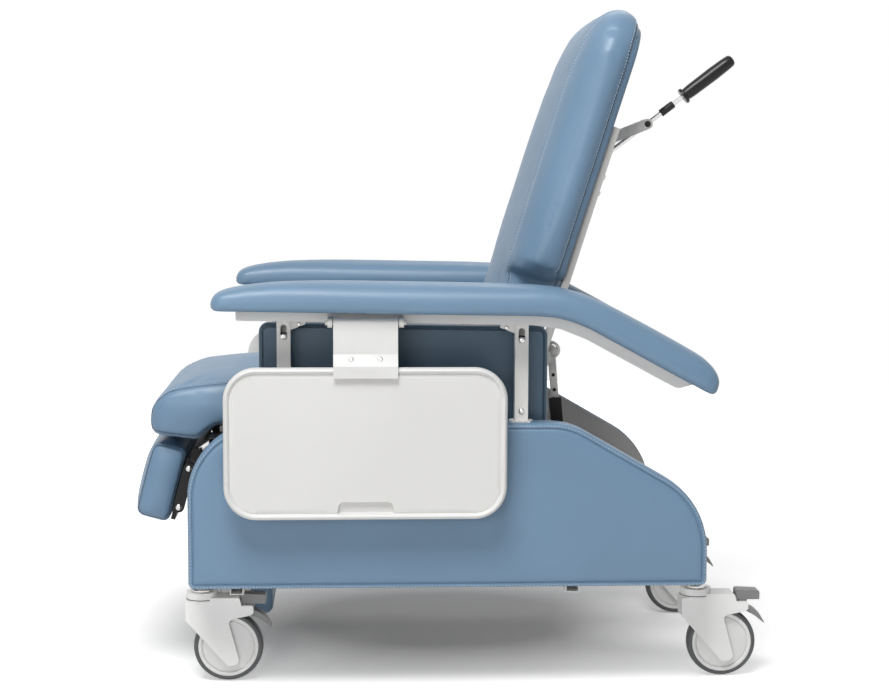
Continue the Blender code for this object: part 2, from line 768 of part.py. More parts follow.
def make_post_guide(end, side, finishes):
    """Square sleeve in the panel's top with an oval flange that the arm post slides through."""
    x = POST_X[end]
    y = SIDES[side] * POST_Y
    flange_z = PANEL_TOP + SEAT_GAP
    half = GUIDE_SLEEVE / 2
    foot = flange_z - GUIDE_DEPTH
    guide = block("post_guide_" + end + "_" + side, (x - half, x + half), (y - half, y + half),
                  (foot, flange_z + BITE))
    flange_x = half + GUIDE_FLANGE_REACH[0]
    flange_y = half + GUIDE_FLANGE_REACH[1]
    flange_round = flange_y * GUIDE_FLANGE_ROUND
    oval = rectangle((x - flange_x, y - flange_y), (x + flange_x, y + flange_y), flange_round)
    join(guide, prism("flange", oval, "z", flange_z, flange_z + GUIDE_FLANGE_THICKNESS))
    bore = POST_SIZE / 2 + POST_GAP
    cut(guide, block("bore", (x - bore, x + bore), (y - bore, y + bore),
                     (foot - OVERRUN, flange_z + 2 * OVERRUN)))
    place(guide, "base", finishes["tray"])


def tube_across(name, x, reach, z):
    """A rectangular tube along y, open at both ends."""
    tube = block(name, x, (-reach, reach), z)
    inside_x = (x[0] + TUBE_WALL, x[1] - TUBE_WALL)
    inside_z = (z[0] + TUBE_WALL, z[1] - TUBE_WALL)
    return cut(tube, block("inside", inside_x, (-reach - OVERRUN, reach + OVERRUN), inside_z))


def make_cross_members(finishes):
    """Lower tubes between the caster rails: the front one carries the apron, the rear one the strut."""
    half = CROSS_TUBE / 2
    reach = CASTER_RAIL_OUTER
    tube_top = FRAME_BOTTOM - SEAT_GAP
    tube_z = (tube_top - CROSS_TUBE, tube_top)
    x = LOWER_CROSS_FRONT_X
    front = tube_across("lower_cross_front", (x - half, x + half), reach, tube_z)
    place(front, "base", finishes["frame"])

    apron_x = x + half + SEAT_GAP
    apron_outline = rounded([
        (-APRON_HALF_WIDTH, APRON_BOTTOM, APRON_FOOT_CORNER),
        (APRON_HALF_WIDTH, APRON_BOTTOM, APRON_FOOT_CORNER),
        (APRON_HALF_WIDTH, tube_top, APRON_TOP_CORNER),
        (-APRON_HALF_WIDTH, tube_top, APRON_TOP_CORNER),
    ])
    rear_x = apron_x + APRON_THICKNESS
    apron = prism("front_apron", apron_outline, "x", apron_x, rear_x)
    soften(apron, APRON_EDGE, 3, lambda point: point.x > rear_x - ON_PLANE)
    place(apron, "base", finishes["vinyl"])

    foot_x, foot_z = STRUT_FOOT
    rear = tube_across("lower_cross_rear", (foot_x - half, foot_x + half), reach, tube_z)
    eye_side = STRUT_Y - STRUT_EYE_WIDTH / 2 - SEAT_GAP
    lug_y = (eye_side - STRUT_LUG_THICKNESS, eye_side)
    lug_half = half - BITE
    lug_round = STRUT_PIN_RADIUS * 2
    lug = rounded([
        (foot_x - lug_half, tube_top - 2 * BITE, 0.0),
        (foot_x + lug_half, tube_top - 2 * BITE, 0.0),
        (foot_x + lug_half, foot_z + lug_half, lug_round),
        (foot_x - lug_half, foot_z + lug_half, lug_round),
    ])
    join(rear, prism("strut_lug", lug, "y", *lug_y))
    pin_y = (lug_y[0] + 2 * BITE, STRUT_Y + STRUT_EYE_WIDTH / 2 + 2 * BITE)
    pin_start, pin_end = ((foot_x, y, foot_z) for y in pin_y)
    join(rear, rod("strut_pin", pin_start, pin_end, STRUT_PIN_RADIUS, 12))
    place(rear, "base", finishes["frame"])


def make_seat_frame(finishes):
    reach = BOARD_INNER - SEAT_GAP
    half = CROSS_TUBE / 2
    x = SEAT_CROSS_FRONT_X
    front = tube_across("seat_cross_front", (x - half, x + half), reach,
                        (SEAT_TUBE_TOP - CROSS_TUBE, SEAT_TUBE_TOP))
    radius = LEG_BAR_WIDTH / 2
    hanger = bar_outline((x, SEAT_TUBE_TOP - radius - TUBE_WALL), LEG_HANGER_PIVOT, radius)
    for side in SIDES:
        layer = span(side, LEG_HANGER_INNER, LEG_HANGER_INNER + LEG_BAR_THICKNESS)
        join(front, prism("hanger", hanger, "y", *layer))
    cut(front, leg_bore(LEG_HANGER_PIVOT))
    place(front, "base", finishes["black"])

    half = SEAT_CROSS_REAR_WIDTH / 2
    x = SEAT_CROSS_REAR_X
    rear = tube_across("seat_cross_rear", (x - half, x + half), reach,
                       (SEAT_TUBE_TOP - SEAT_CROSS_REAR_HEIGHT, SEAT_TUBE_TOP))
    pivot_x, pivot_z = BACK_PIVOT
    ear_foot = (x - half, SEAT_TUBE_TOP - SEAT_CROSS_REAR_HEIGHT / 2)
    ear = bar_outline(ear_foot, BACK_PIVOT, BACK_EAR_RADIUS)
    for side, sign in SIDES.items():
        layer = span(side, BACK_EAR_INNER, BACK_EAR_INNER + BACK_EAR_THICKNESS)
        join(rear, prism("ear", ear, "y", *layer))
        pin_start = sign * (UPRIGHT_OUTER + BITE)
        pin_end = sign * (BACK_EAR_INNER + BACK_EAR_THICKNESS / 2)
        join(rear, rod("pin", (pivot_x, pin_start, pivot_z), (pivot_x, pin_end, pivot_z),
                       BACK_PIN_RADIUS, 14))
    place(rear, "base", finishes["frame"])

    board = block("seat_board", SEAT_BOARD_X, (-SEAT_BOARD_HALF_WIDTH, SEAT_BOARD_HALF_WIDTH),
                  (SEAT_BOARD_BOTTOM, SEAT_BOARD_BOTTOM + SEAT_BOARD_THICKNESS))
    place(board, "base", finishes["board"])


def seat_underside(depth):
    """Height of the seat cushion's underside: a lip hangs down in front of the seat frame."""
    lip_front, lip_rear = SEAT_LIP_Z
    if depth <= SEAT_LIP_DEPTH:
        return lip_front + (lip_rear - lip_front) * depth / SEAT_LIP_DEPTH
    rise = min((depth - SEAT_LIP_DEPTH) / (SEAT_NOTCH_DEPTH - SEAT_LIP_DEPTH), 1.0)
    return lip_rear + (SEAT_BOTTOM - lip_rear) * rise


def make_seat_cushion(finishes):
    """Box cushion with a nearly flat top, a deep rounded front roll and a lip under its front."""
    length = SEAT_REAR - SEAT_FRONT
    depths = [SEAT_FRONT_ROLL * share for share in (0.0, 0.06, 0.22, 0.5, 0.8, 1.0)]
    depths += [SEAT_LIP_DEPTH, SEAT_NOTCH_DEPTH]
    depths += [length * share for share in (0.35, 0.52, 0.69, 0.83)]
    depths += [length - SEAT_REAR_ROLL * share for share in (1.0, 0.5, 0.13, 0.0)]
    rings = []
    for depth in depths:
        far = length - depth
        top_loss = edge_loss(depth, SEAT_FRONT_ROLL) + edge_loss(far, SEAT_REAR_ROLL)
        side_loss = edge_loss(depth, SEAT_CORNER) + edge_loss(far, SEAT_CORNER * 0.7)
        foot_rise = edge_loss(depth, SEAT_FOOT_RADIUS) + edge_loss(far, SEAT_FOOT_RADIUS / 2)
        crown = SEAT_CROWN * min(1.0, (SEAT_FRONT_ROLL / 10 + depth) / SEAT_CROWN_RUN,
                                 (SEAT_REAR_ROLL / 3 + far) / SEAT_CROWN_RUN)
        low = seat_underside(depth) + foot_rise
        outline = section(SEAT_HALF_WIDTH - side_loss, low, SEAT_TOP - top_loss,
                          SEAT_FACE_RADIUS, SEAT_FOOT_RADIUS, crown, SEAT_SIDE_BULGE)
        rings.append([(SEAT_FRONT + depth, across, out) for across, out in outline])
    place(lofted("seat_cushion", rings), "base", finishes["vinyl"])


# Arms


def arm_line(x):
    """Height of the straight underside of the arm pad, which falls slightly to the rear."""
    return ARM_KNEE[1] + (ARM_KNEE[0] - x) * tan(radians(ARM_SLOPE))


def post_top(end):
    return arm_line(POST_X[end]) - RAIL_DEPTH - SEAT_GAP - POST_SIZE / 2 * tan(radians(ARM_SLOPE))


def arm_tail(length, drop=0.0):
    """A point on the sloped rear part of the arm, at a length past the knee and a drop below it."""
    angle = radians(ARM_REAR_SLOPE)
    return (ARM_KNEE[0] + length * cos(angle) - drop * sin(angle),
            ARM_KNEE[1] - length * sin(angle) - drop * cos(angle))


def rail_corners(top_drop):
    """Side view of the bent arm rail, with its top at a drop below the pad."""
    bend = (ARM_SLOPE + ARM_REAR_SLOPE) / 2
    inner = tan(radians((ARM_REAR_SLOPE - ARM_SLOPE) / 2))
    knee_x = ARM_KNEE[0] - RAIL_DEPTH * sin(radians(bend))
    top_end = arm_tail(RAIL_REAR_LENGTH, top_drop)
    bottom_end = arm_tail(RAIL_REAR_LENGTH - RAIL_DEPTH, RAIL_DEPTH)
    top_knee = (ARM_KNEE[0] - top_drop * inner, arm_line(ARM_KNEE[0]) - top_drop)
    return [
        (RAIL_FRONT, arm_line(RAIL_FRONT) - RAIL_DEPTH, RAIL_FRONT_CORNER),
        (knee_x, arm_line(knee_x) - RAIL_DEPTH, ARM_TURN_RADIUS),
        (bottom_end[0], bottom_end[1], RAIL_END_CORNER),
        (top_end[0], top_end[1], 0.0),
        (top_knee[0], top_knee[1], ARM_TURN_RADIUS),
        (RAIL_FRONT, arm_line(RAIL_FRONT) - top_drop, 0.0),
    ]


def make_arm_rail(side, finishes):
    """U channel under the pad, open at the top, bent down at the rear, with the tray's hinge."""
    corners = rail_corners(RAIL_TOP_GAP)
    half = RAIL_CHANNEL_WIDTH / 2
    inner = POST_Y + RAIL_OFFSET - half
    outer = POST_Y + RAIL_OFFSET + half
    rail = prism("arm_rail_" + side, rounded(corners), "y", *span(side, inner, outer))
    trough = [(x, z + RAIL_WALL) for x, z in rounded(moved_in(corners, RAIL_WALL / 2))]
    cut(rail, prism("trough", trough, "y", *span(side, inner + RAIL_WALL, outer - RAIL_WALL)))
    add_tray_hinge(rail, side, outer)
    return place(rail, "arm_" + side, finishes["frame"])


def tray_hinge_span():
    half = BRACKET_WIDTH / 2
    return TRAY_CENTRE[0] - half, TRAY_CENTRE[0] + half


def add_tray_hinge(rail, side, rail_outer):
    """Two lugs on the outer wall of the rail and the rod between them that the tray turns on."""
    low, high = tray_hinge_span()
    sign = SIDES[side]
    hinge_y, hinge_z = TRAY_HINGE
    radius = KNUCKLE_RADIUS
    end_round = radius * HINGE_LUG_ROUND
    lug = rounded([
        (rail_outer - BITE, hinge_z - radius, 0.0),
        (hinge_y + radius, hinge_z - radius, end_round),
        (hinge_y + radius, hinge_z + radius, end_round),
        (rail_outer - BITE, hinge_z + radius, 0.0),
    ])
    for x in (low - HINGE_LUG_GAP - HINGE_LUG, high + HINGE_LUG_GAP):
        join(rail, prism("lug", [(sign * y, z) for y, z in lug], "x", x, x + HINGE_LUG))
    reach = HINGE_LUG_GAP + HINGE_LUG + HINGE_ROD_END
    axis = (sign * hinge_y, hinge_z)
    join(rail, rod("hinge_rod", (low - reach, *axis), (high + reach, *axis), TRAY_HINGE_RADIUS, 16))


def make_post(end, side, finishes):
    """Square tube post with a latch slot, a gusset to the rail and a boss for the inner panel."""
    x = POST_X[end]
    half = POST_SIZE / 2
    top = post_top(end)
    post_y = span(side, POST_Y - half, POST_Y + half)
    post = block("arm_post_" + end + "_" + side, (x - half, x + half), post_y, (POST_BOTTOM, top))
    reach = 1 if end == "front" else -1
    gusset_start = x + reach * (half - BITE)
    gusset_end = x + reach * (half + GUSSET_LENGTH)
    gusset = [
        (gusset_start, top),
        (gusset_start, top - GUSSET_HEIGHT),
        (gusset_end, top - GUSSET_HEIGHT / 3),
        (gusset_end, min(top, arm_line(gusset_end) - RAIL_DEPTH - SEAT_GAP)),
    ]
    gusset_half = half - GUSSET_INSET
    join(post, prism("gusset", gusset, "y", *span(side, POST_Y - gusset_half, POST_Y + gusset_half)))
    panel_face = INNER_PANEL_INNER + INNER_PANEL_THICKNESS + SEAT_GAP
    boss_drop, boss_foot = POST_BOSS
    join(post, block("boss", (x - half + boss_drop, x + half - boss_drop),
                     span(side, panel_face, POST_Y - half + BITE), (top - boss_foot, top - boss_drop)))
    inside = half - POST_WALL
    cut(post, block("hollow", (x - inside, x + inside), span(side, POST_Y - inside, POST_Y + inside),
                    (POST_BOTTOM - OVERRUN, top - POST_CAP)))
    slot_low = (x - POST_SLOT_WIDTH / 2, top - POST_SLOT_DROP - POST_SLOT_HEIGHT)
    slot_high = (x + POST_SLOT_WIDTH / 2, top - POST_SLOT_DROP)
    slot = rectangle(slot_low, slot_high, POST_SLOT_WIDTH / 2 - ON_PLANE)
    cut(post, prism("slot", slot, "y", *span(side, POST_Y + inside - BITE, POST_Y + half + BITE)))
    place(post, "arm_" + side, finishes["frame"])
    make_latch(end, side, slot_low[1] + POST_SLOT_WIDTH / 2, finishes)


def make_latch(end, side, pin_z, finishes):
    """Latch rod inside a post with the bolt that shows in the post's slot."""
    x = POST_X[end]
    y = SIDES[side] * POST_Y
    latch_body = "arm_latch_body_" + end + "_" + side
    add_body(latch_body, (x, y, pin_z), "arm_" + side)
    latch = rod("arm_latch_" + end + "_" + side, (x, y, pin_z - LATCH_ROD_LENGTH),
                (x, y, pin_z + LATCH_ROD_RADIUS), LATCH_ROD_RADIUS, 12)
    face = POST_Y + POST_SIZE / 2 + SEAT_GAP
    face_y = SIDES[side] * face
    pin_end = SIDES[side] * (face + BITE)
    head_end = SIDES[side] * (face + LATCH_HEAD_THICKNESS)
    join(latch, rod("pin", (x, y, pin_z), (x, pin_end, pin_z), LATCH_PIN_RADIUS, 12))
    join(latch, rod("head", (x, face_y, pin_z), (x, head_end, pin_z), LATCH_HEAD_RADIUS, 16))
    place(latch, latch_body, finishes["steel"])


def arm_path():
    """Points along the pad's underside with a rounded knee, as (x, z, slope, distance)."""
    points = []
    for distance in (0.0, 0.006, 0.016, 0.034, 0.064, 0.11, 0.18, 0.30, 0.42, 0.52):
        x = ARM_FRONT + distance
        points.append((x, arm_line(x), ARM_SLOPE))
    near = (ARM_KNEE[0] - ARM_TURN, arm_line(ARM_KNEE[0] - ARM_TURN))
    far = arm_tail(ARM_TURN)
    for share in (0.0, 0.33, 0.67, 1.0):
        a = (1 - share) ** 2
        b = 2 * share * (1 - share)
        c = share ** 2
        points.append((a * near[0] + b * ARM_KNEE[0] + c * far[0],
                       a * near[1] + b * ARM_KNEE[1] + c * far[1],
                       ARM_SLOPE + (ARM_REAR_SLOPE - ARM_SLOPE) * share))
    lengths_to_end = (0.177, 0.107, 0.062, 0.045, 0.025, 0.010, 0.003, 0.0)
    for length in lengths_to_end:
        points.append((*arm_tail(ARM_REAR_LENGTH - length), ARM_REAR_SLOPE))
    distances = [0.0]
    for here, there in zip(points, points[1:]):
        distances.append(distances[-1] + hypot(there[0] - here[0], there[1] - here[1]))
    return [(*point, distance) for point, distance in zip(points, distances)]


def make_arm_pad(side, finishes):
    """Padded arm with a slim front nose, a full middle and a thinner drooping tail."""
    path = arm_path()
    total = path[-1][3]
    body_share = 1 - ARM_CROWN_SHARE
    rings = []
    for x, z, slope, length in path:
        left = total - length
        nose = sqrt(1 - (1 - min(length / ARM_NOSE, 1)) ** 2)
        tail = sqrt(1 - (1 - min(left / ARM_TAIL, 1)) ** 2)
        nose_share = ARM_NOSE_SHARE + (1 - ARM_NOSE_SHARE) * nose
        tail_share = ARM_TAIL_SHARE + (1 - ARM_TAIL_SHARE) * tail
        thickness = ARM_PAD_THICKNESS * nose_share * tail_share
        end_loss = edge_loss(length, ARM_END_CORNER) + edge_loss(left, ARM_END_CORNER)
        lift = end_loss * ARM_END_LIFT
        outline = section(ARM_PAD_WIDTH / 2 - end_loss, lift, thickness * body_share - lift,
                          thickness * ARM_FACE_SHARE, thickness * ARM_FOOT_SHARE,
                          thickness * ARM_CROWN_SHARE, 0.0)
        angle = radians(slope)
        rings.append([(x + out * sin(angle), SIDES[side] * ARM_Y + across, z + out * cos(angle))
                      for across, out in outline])
    place(lofted("arm_pad_" + side, rings), "arm_" + side, finishes["vinyl"])


def make_inner_panel(side, finishes):
    low, high = INNER_PANEL_X
    corners = [
        (low, INNER_PANEL_BOTTOM, INNER_PANEL_CORNER),
        (high, INNER_PANEL_BOTTOM, INNER_PANEL_CORNER),
        (high, arm_line(high) - RAIL_DEPTH - INNER_PANEL_DROP, INNER_PANEL_CORNER),
        (low, arm_line(low) - RAIL_DEPTH - INNER_PANEL_DROP, INNER_PANEL_CORNER),
    ]
    outer = INNER_PANEL_INNER + INNER_PANEL_THICKNESS
    panel = prism("arm_inner_panel_" + side, rounded(corners), "y", *span(side, INNER_PANEL_INNER, outer))
    soften(panel, INNER_PANEL_EDGE, 2, lambda point: abs(point.y) < INNER_PANEL_INNER + ON_PLANE)
    soften(panel, INNER_PANEL_EDGE, 2, lambda point: abs(point.y) > outer - ON_PLANE)
    place(panel, "arm_" + side, finishes["vinyl"])


def make_arm(side, finishes):
    add_body("arm_" + side, (POST_X["rear"], SIDES[side] * POST_Y, PANEL_TOP), "base")
    make_arm_rail(side, finishes)
    make_arm_pad(side, finishes)
    make_inner_panel(side, finishes)
    for end in ENDS:
        make_post(end, side, finishes)


# Side trays


def make_tray(side, finishes):
    hinge_y, hinge_z = TRAY_HINGE
    add_body("tray_" + side, (TRAY_CENTRE[0], SIDES[side] * hinge_y, hinge_z), "arm_" + side)
    make_tray_bracket(side, finishes)
    make_tray_top(side, finishes)


def make_tray_bracket(side, finishes):
    """Folded sheet: a knuckle on the hinge rod, a flat blade, a set-out and a lip over the tray's rim."""
    low, high = tray_hinge_span()
    sign = SIDES[side]
    hinge_y, hinge_z = TRAY_HINGE
    blade = hinge_y + KNUCKLE_RADIUS
    lip = TRAY_OUTER + SEAT_GAP
    sheet = BRACKET_SHEET
    outline = [
        (blade, hinge_z),
        (blade, BRACKET_CREASE_Z),
        (lip + sheet, BRACKET_LIP_Z),
        (lip + sheet, BRACKET_BOTTOM_Z),
        (lip, BRACKET_BOTTOM_Z),
        (lip, BRACKET_LIP_Z + sheet / 2),
        (blade - sheet, BRACKET_CREASE_Z + sheet / 2),
        (blade - sheet, hinge_z),
    ]
    bracket = prism("tray_bracket_" + side, [(sign * y, z) for y, z in outline], "x", low, high)
    centre = (sign * hinge_y, hinge_z)
    join(bracket, prism("knuckle", circle_outline(centre, KNUCKLE_RADIUS, 20), "x", low, high))
    bore = TRAY_HINGE_RADIUS + PIVOT_GAP
    cut(bracket, rod("bore", (low - OVERRUN, *centre), (high + OVERRUN, *centre), bore, 16))
    place(bracket, "tray_" + side, finishes["tray"])


def make_tray_top(side, finishes):
    """Moulded tray with a raised rim and a finger recess in its free edge."""
    x, z = TRAY_CENTRE
    half_x = TRAY_SIZE[0] / 2
    half_z = TRAY_SIZE[1] / 2
    outer = [(x - half_x, z - half_z, TRAY_CORNER), (x + half_x, z - half_z, TRAY_CORNER),
             (x + half_x, z + half_z, TRAY_CORNER), (x - half_x, z + half_z, TRAY_CORNER)]
    tray = prism("tray_top_" + side, rounded(outer), "y",
                 *span(side, TRAY_OUTER - TRAY_THICKNESS, TRAY_OUTER))
    inner = rounded(moved_in(outer, TRAY_RIM))
    cut(tray, prism("recess", inner, "y", *span(side, TRAY_OUTER - TRAY_RECESS, TRAY_OUTER + OVERRUN)))
    grip_low = z - half_z + TRAY_GRIP_RISE
    grip_high = grip_low + TRAY_GRIP_HEIGHT
    low_half = TRAY_GRIP_WIDTH / 2
    high_half = low_half - TRAY_GRIP_TAPER
    grip = rounded([
        (x - low_half, grip_low, TRAY_GRIP_CORNER),
        (x + low_half, grip_low, TRAY_GRIP_CORNER),
        (x + high_half, grip_high, 3 * TRAY_GRIP_CORNER),
        (x - high_half, grip_high, 3 * TRAY_GRIP_CORNER),
    ])
    cut(tray, prism("grip", grip, "y", *span(side, TRAY_OUTER - TRAY_GRIP_DEPTH, TRAY_OUTER + OVERRUN)))
    place(tray, "tray_" + side, finishes["tray"])


# Back


def back_point(up, across, ahead):
    """World point from a height up the back, a y and a distance in front of the pivot."""
    x, z = Vector(BACK_PIVOT) + BACK_UP * up + BACK_AHEAD * ahead
    return (x, across, z)


def back_outline(points):
    """A side view in (up, ahead) turned into world (x, z)."""
    return [back_point(up, 0, ahead)[::2] for up, ahead in points]


def back_half_width(up):
    """Half width of the back cushion: a narrow neck, then the full width with rounded corners."""
    step = min(max((up - BACK_BOLSTER_FOOT) / BACK_SHOULDER, 0.0), 1.0)
    round_in = sqrt(1 - (1 - step) ** 2)
    width = BACK_NECK_HALF_WIDTH + (BACK_HALF_WIDTH - BACK_NECK_HALF_WIDTH) * round_in
    return width - edge_loss(BACK_HEIGHT - up, BACK_TOP_CORNER)


def back_front(up):
    """Distance of the cushion's face in front of the pivot, which sets back towards the head."""
    head = max((up - BACK_HEAD_START) / (BACK_HEIGHT - BACK_HEAD_START), 0.0)
    return BACK_FRONT - BACK_HEAD_SET_BACK * head ** 2


def make_back_cushion(finishes):
    """Cushion with a narrow foot between the arms, wide wings above them and a rounded head."""
    rear = BACK_REAR + BACK_BOARD_THICKNESS + SEAT_GAP
    heights = [BACK_FOOT + BACK_END_RADIUS * share for share in (0.0, 0.13, 0.47, 1.0)]
    heights += [BACK_BOLSTER_FOOT / 2, BACK_BOLSTER_FOOT - BITE, BACK_BOLSTER_FOOT]
    heights += [BACK_BOLSTER_FOOT + BACK_SHOULDER * share for share in (0.07, 0.33, 1.0)]
    heights += [0.30, 0.42, BACK_HEAD_START, 0.54]
    heights += [BACK_HEIGHT - BACK_TOP_CORNER * share for share in (1.0, 0.65, 0.35, 0.18, 0.07, 0.02, 0.0)]
    rings = []
    for up in heights:
        from_end = min(up - BACK_FOOT, BACK_HEIGHT - up)
        loss = edge_loss(from_end, BACK_END_RADIUS)
        crown = BACK_CROWN * min(1.0, from_end / BACK_CROWN_RUN)
        outline = section(back_half_width(up), rear + loss / 3, back_front(up) - loss, BACK_FACE_RADIUS,
                          BACK_REAR_RADIUS, crown, BACK_BULGE, BACK_FACE_RUN)
        rings.append([back_point(up, across, out) for across, out in outline])
    place(lofted("back_cushion", rings), "back", finishes["vinyl"])


def make_back_board(finishes):
    """Rear panel behind the cushion, shouldered like it."""
    neck = BACK_NECK_HALF_WIDTH - BACK_BOARD_INSET
    full = BACK_HALF_WIDTH - BACK_BOARD_INSET
    foot = BACK_FOOT + BACK_BOARD_INSET
    shoulder = BACK_BOLSTER_FOOT + BACK_BOARD_INSET
    top = BACK_HEIGHT - BACK_BOARD_INSET
    corner = BACK_TOP_CORNER - BACK_BOARD_INSET
    outline = rounded([
        (-neck, foot, BACK_BOARD_FOOT_CORNER),
        (neck, foot, BACK_BOARD_FOOT_CORNER),
        (neck, shoulder, 0.0),
        (full, shoulder, BACK_BOARD_SHOULDER_CORNER),
        (full, top, corner),
        (-full, top, corner),
        (-full, shoulder, BACK_BOARD_SHOULDER_CORNER),
        (-neck, shoulder, 0.0),
    ])
    front = BACK_REAR + BACK_BOARD_THICKNESS
    shape = bmesh.new()
    lower = [shape.verts.new(back_point(up, across, BACK_REAR)) for across, up in outline]
    upper = [shape.verts.new(back_point(up, across, front)) for across, up in outline]
    shape.faces.new(lower)
    shape.faces.new(list(reversed(upper)))
    for k in range(len(outline)):
        after = (k + 1) % len(outline)
        shape.faces.new((lower[k], upper[k], upper[after], lower[after]))
    place(new_object("back_board", shape), "back", finishes["vinyl"])


def make_upright(side, finishes):
    """Rear channel of the back frame with the plate that turns on the seat's pivot pin."""
    sign = SIDES[side]
    shape = back_outline([(UPRIGHT_FOOT, UPRIGHT_BACK), (UPRIGHT_FOOT, UPRIGHT_FRONT),
                          (UPRIGHT_TOP, UPRIGHT_FRONT), (UPRIGHT_TOP, UPRIGHT_BACK)])
    upright = prism("back_upright_" + side, shape, "y", *span(side, UPRIGHT_INNER, UPRIGHT_OUTER))
    web = UPRIGHT_FRONT - UPRIGHT_WALL
    open_side = UPRIGHT_BACK - OVERRUN
    low = UPRIGHT_FOOT - OVERRUN
    high = UPRIGHT_TOP + OVERRUN
    hollow = back_outline([(low, open_side), (low, web), (high, web), (high, open_side)])
    inside = span(side, UPRIGHT_INNER + UPRIGHT_WALL, UPRIGHT_OUTER - UPRIGHT_WALL)
    cut(upright, prism("channel", hollow, "y", *inside))
    middle = (UPRIGHT_FRONT + UPRIGHT_BACK) / 2
    anchor = back_point(UPRIGHT_FOOT + PIVOT_PLATE_UP, 0, middle)[::2]
    plate_y = span(side, UPRIGHT_OUTER - UPRIGHT_WALL, BACK_EAR_INNER - PIVOT_GAP)
    join(upright, prism("plate", bar_outline(anchor, BACK_PIVOT, PIVOT_PLATE_RADIUS), "y", *plate_y))
    pivot_x, pivot_z = BACK_PIVOT
    bore = BACK_PIN_RADIUS + PIVOT_GAP
    bore_start = sign * (UPRIGHT_INNER - OVERRUN)
    bore_end = sign * (BACK_EAR_INNER + OVERRUN)
    cut(upright, rod("bore", (pivot_x, bore_start, pivot_z), (pivot_x, bore_end, pivot_z), bore, 14))
    if sign * STRUT_Y > 0:
        pin_x, pin_z = STRUT_HEAD
        lug_foot = back_point(UPRIGHT_FOOT + STRUT_LUG_UP, 0, middle)[::2]
        lug_y = span(side, UPRIGHT_INNER + BITE / 2, UPRIGHT_INNER + STRUT_LUG_RADIUS * 2 / 3)
        join(upright, prism("strut_lug", bar_outline(lug_foot, STRUT_HEAD, STRUT_LUG_RADIUS), "y", *lug_y))
        pin_start = sign * (UPRIGHT_INNER + BITE)
        pin_end = STRUT_Y - sign * (STRUT_EYE_WIDTH / 2 + 2 * BITE)
        join(upright, rod("strut_pin", (pin_x, pin_start, pin_z), (pin_x, pin_end, pin_z),
                          STRUT_PIN_RADIUS, 12))
    place(upright, "back", finishes["frame"])


def make_handle_bracket(finishes):
    """Cross bar between the uprights, its clevis and the straps that carry the release lever's pin."""
    low, high = HANDLE_BAR_U
    rear = UPRIGHT_FRONT - HANDLE_BAR_DEPTH
    bar = back_outline([(low, rear), (low, UPRIGHT_FRONT), (high, UPRIGHT_FRONT), (high, rear)])
    reach = UPRIGHT_INNER - SEAT_GAP
    bracket = prism("handle_bracket", bar, "y", -reach, reach)
    start = back_point((low + high) / 2, 0, UPRIGHT_FRONT - HANDLE_STRAP_WIDTH / 2 - SEAT_GAP)[::2]
    strap = bar_outline(start, RELEASE_PIVOT, HANDLE_STRAP_WIDTH / 2)
    strap_inner = RELEASE_EYE_RADIUS + SEAT_GAP
    strap_outer = strap_inner + HANDLE_STRAP_THICKNESS
    for side in SIDES:
        join(bracket, prism("strap", strap, "y", *span(side, strap_inner, strap_outer)))
    x, z = RELEASE_PIVOT
    pin_end = strap_outer - BITE
    join(bracket, rod("pin", (x, -pin_end, z), (x, pin_end, z), RELEASE_PIN_RADIUS, 12))
    low, high = CLEVIS_U
    rear = UPRIGHT_FRONT - CLEVIS_DEPTH
    clevis = back_outline([(low, rear), (low, UPRIGHT_FRONT), (high, UPRIGHT_FRONT), (high, rear)])
    join(bracket, prism("clevis", clevis, "y", -CLEVIS_HALF_WIDTH, CLEVIS_HALF_WIDTH))
    place(bracket, "back", finishes["frame"])


def lever_point(along, across=0.0):
    x, z = Vector(RELEASE_PIVOT) + RELEASE_ALONG * along
    return (x, across, z)


def make_release_lever(finishes):
    x, z = RELEASE_PIVOT
    add_body("release_lever", (x, 0, z), "back")
    lever = rod("release_rod", lever_point(-RELEASE_ROD_BELOW), lever_point(RELEASE_ROD_ABOVE),
                RELEASE_ROD_RADIUS, 12)
    eye = RELEASE_EYE_RADIUS
    join(lever, rod("eye", (x, -eye, z), (x, eye, z), eye, 16))
    bore = RELEASE_PIN_RADIUS + PIVOT_GAP
    cut(lever, rod("bore", (x, -2 * eye, z), (x, 2 * eye, z), bore, 12))
    place(lever, "release_lever", finishes["steel"])

    inside = RELEASE_ROD_RADIUS + SEAT_GAP
    depth = RELEASE_ROD_ABOVE - GRIP_START + SEAT_GAP
    flange = GRIP_FLANGE
    waist = GRIP_RADIUS - flange / 3
    profile = [
        (inside, 0.0),
        (GRIP_RADIUS + flange, 0.0),
        (GRIP_RADIUS + flange, 2 * flange),
        (waist, 3 * flange),
        (GRIP_RADIUS, GRIP_LENGTH * 0.6),
        (waist, GRIP_LENGTH - 3 * flange),
        (GRIP_RADIUS / 2, GRIP_LENGTH - flange / 3),
        (GRIP_TIP_HOLE, GRIP_LENGTH),
        (GRIP_TIP_HOLE, depth + SEAT_GAP),
        (inside, depth),
    ]
    along = (RELEASE_ALONG.x, 0, RELEASE_ALONG.y)
    grip = turned("release_grip", profile, lever_point(GRIP_START), along, 20)
    place(grip, "release_lever", finishes["rubber"])


def make_back(finishes):
    add_body("back", (BACK_PIVOT[0], 0, BACK_PIVOT[1]), "base")
    make_back_cushion(finishes)
    make_back_board(finishes)
    for side in SIDES:
        make_upright(side, finishes)
    make_handle_bracket(finishes)
    make_release_lever(finishes)


# Recline strut


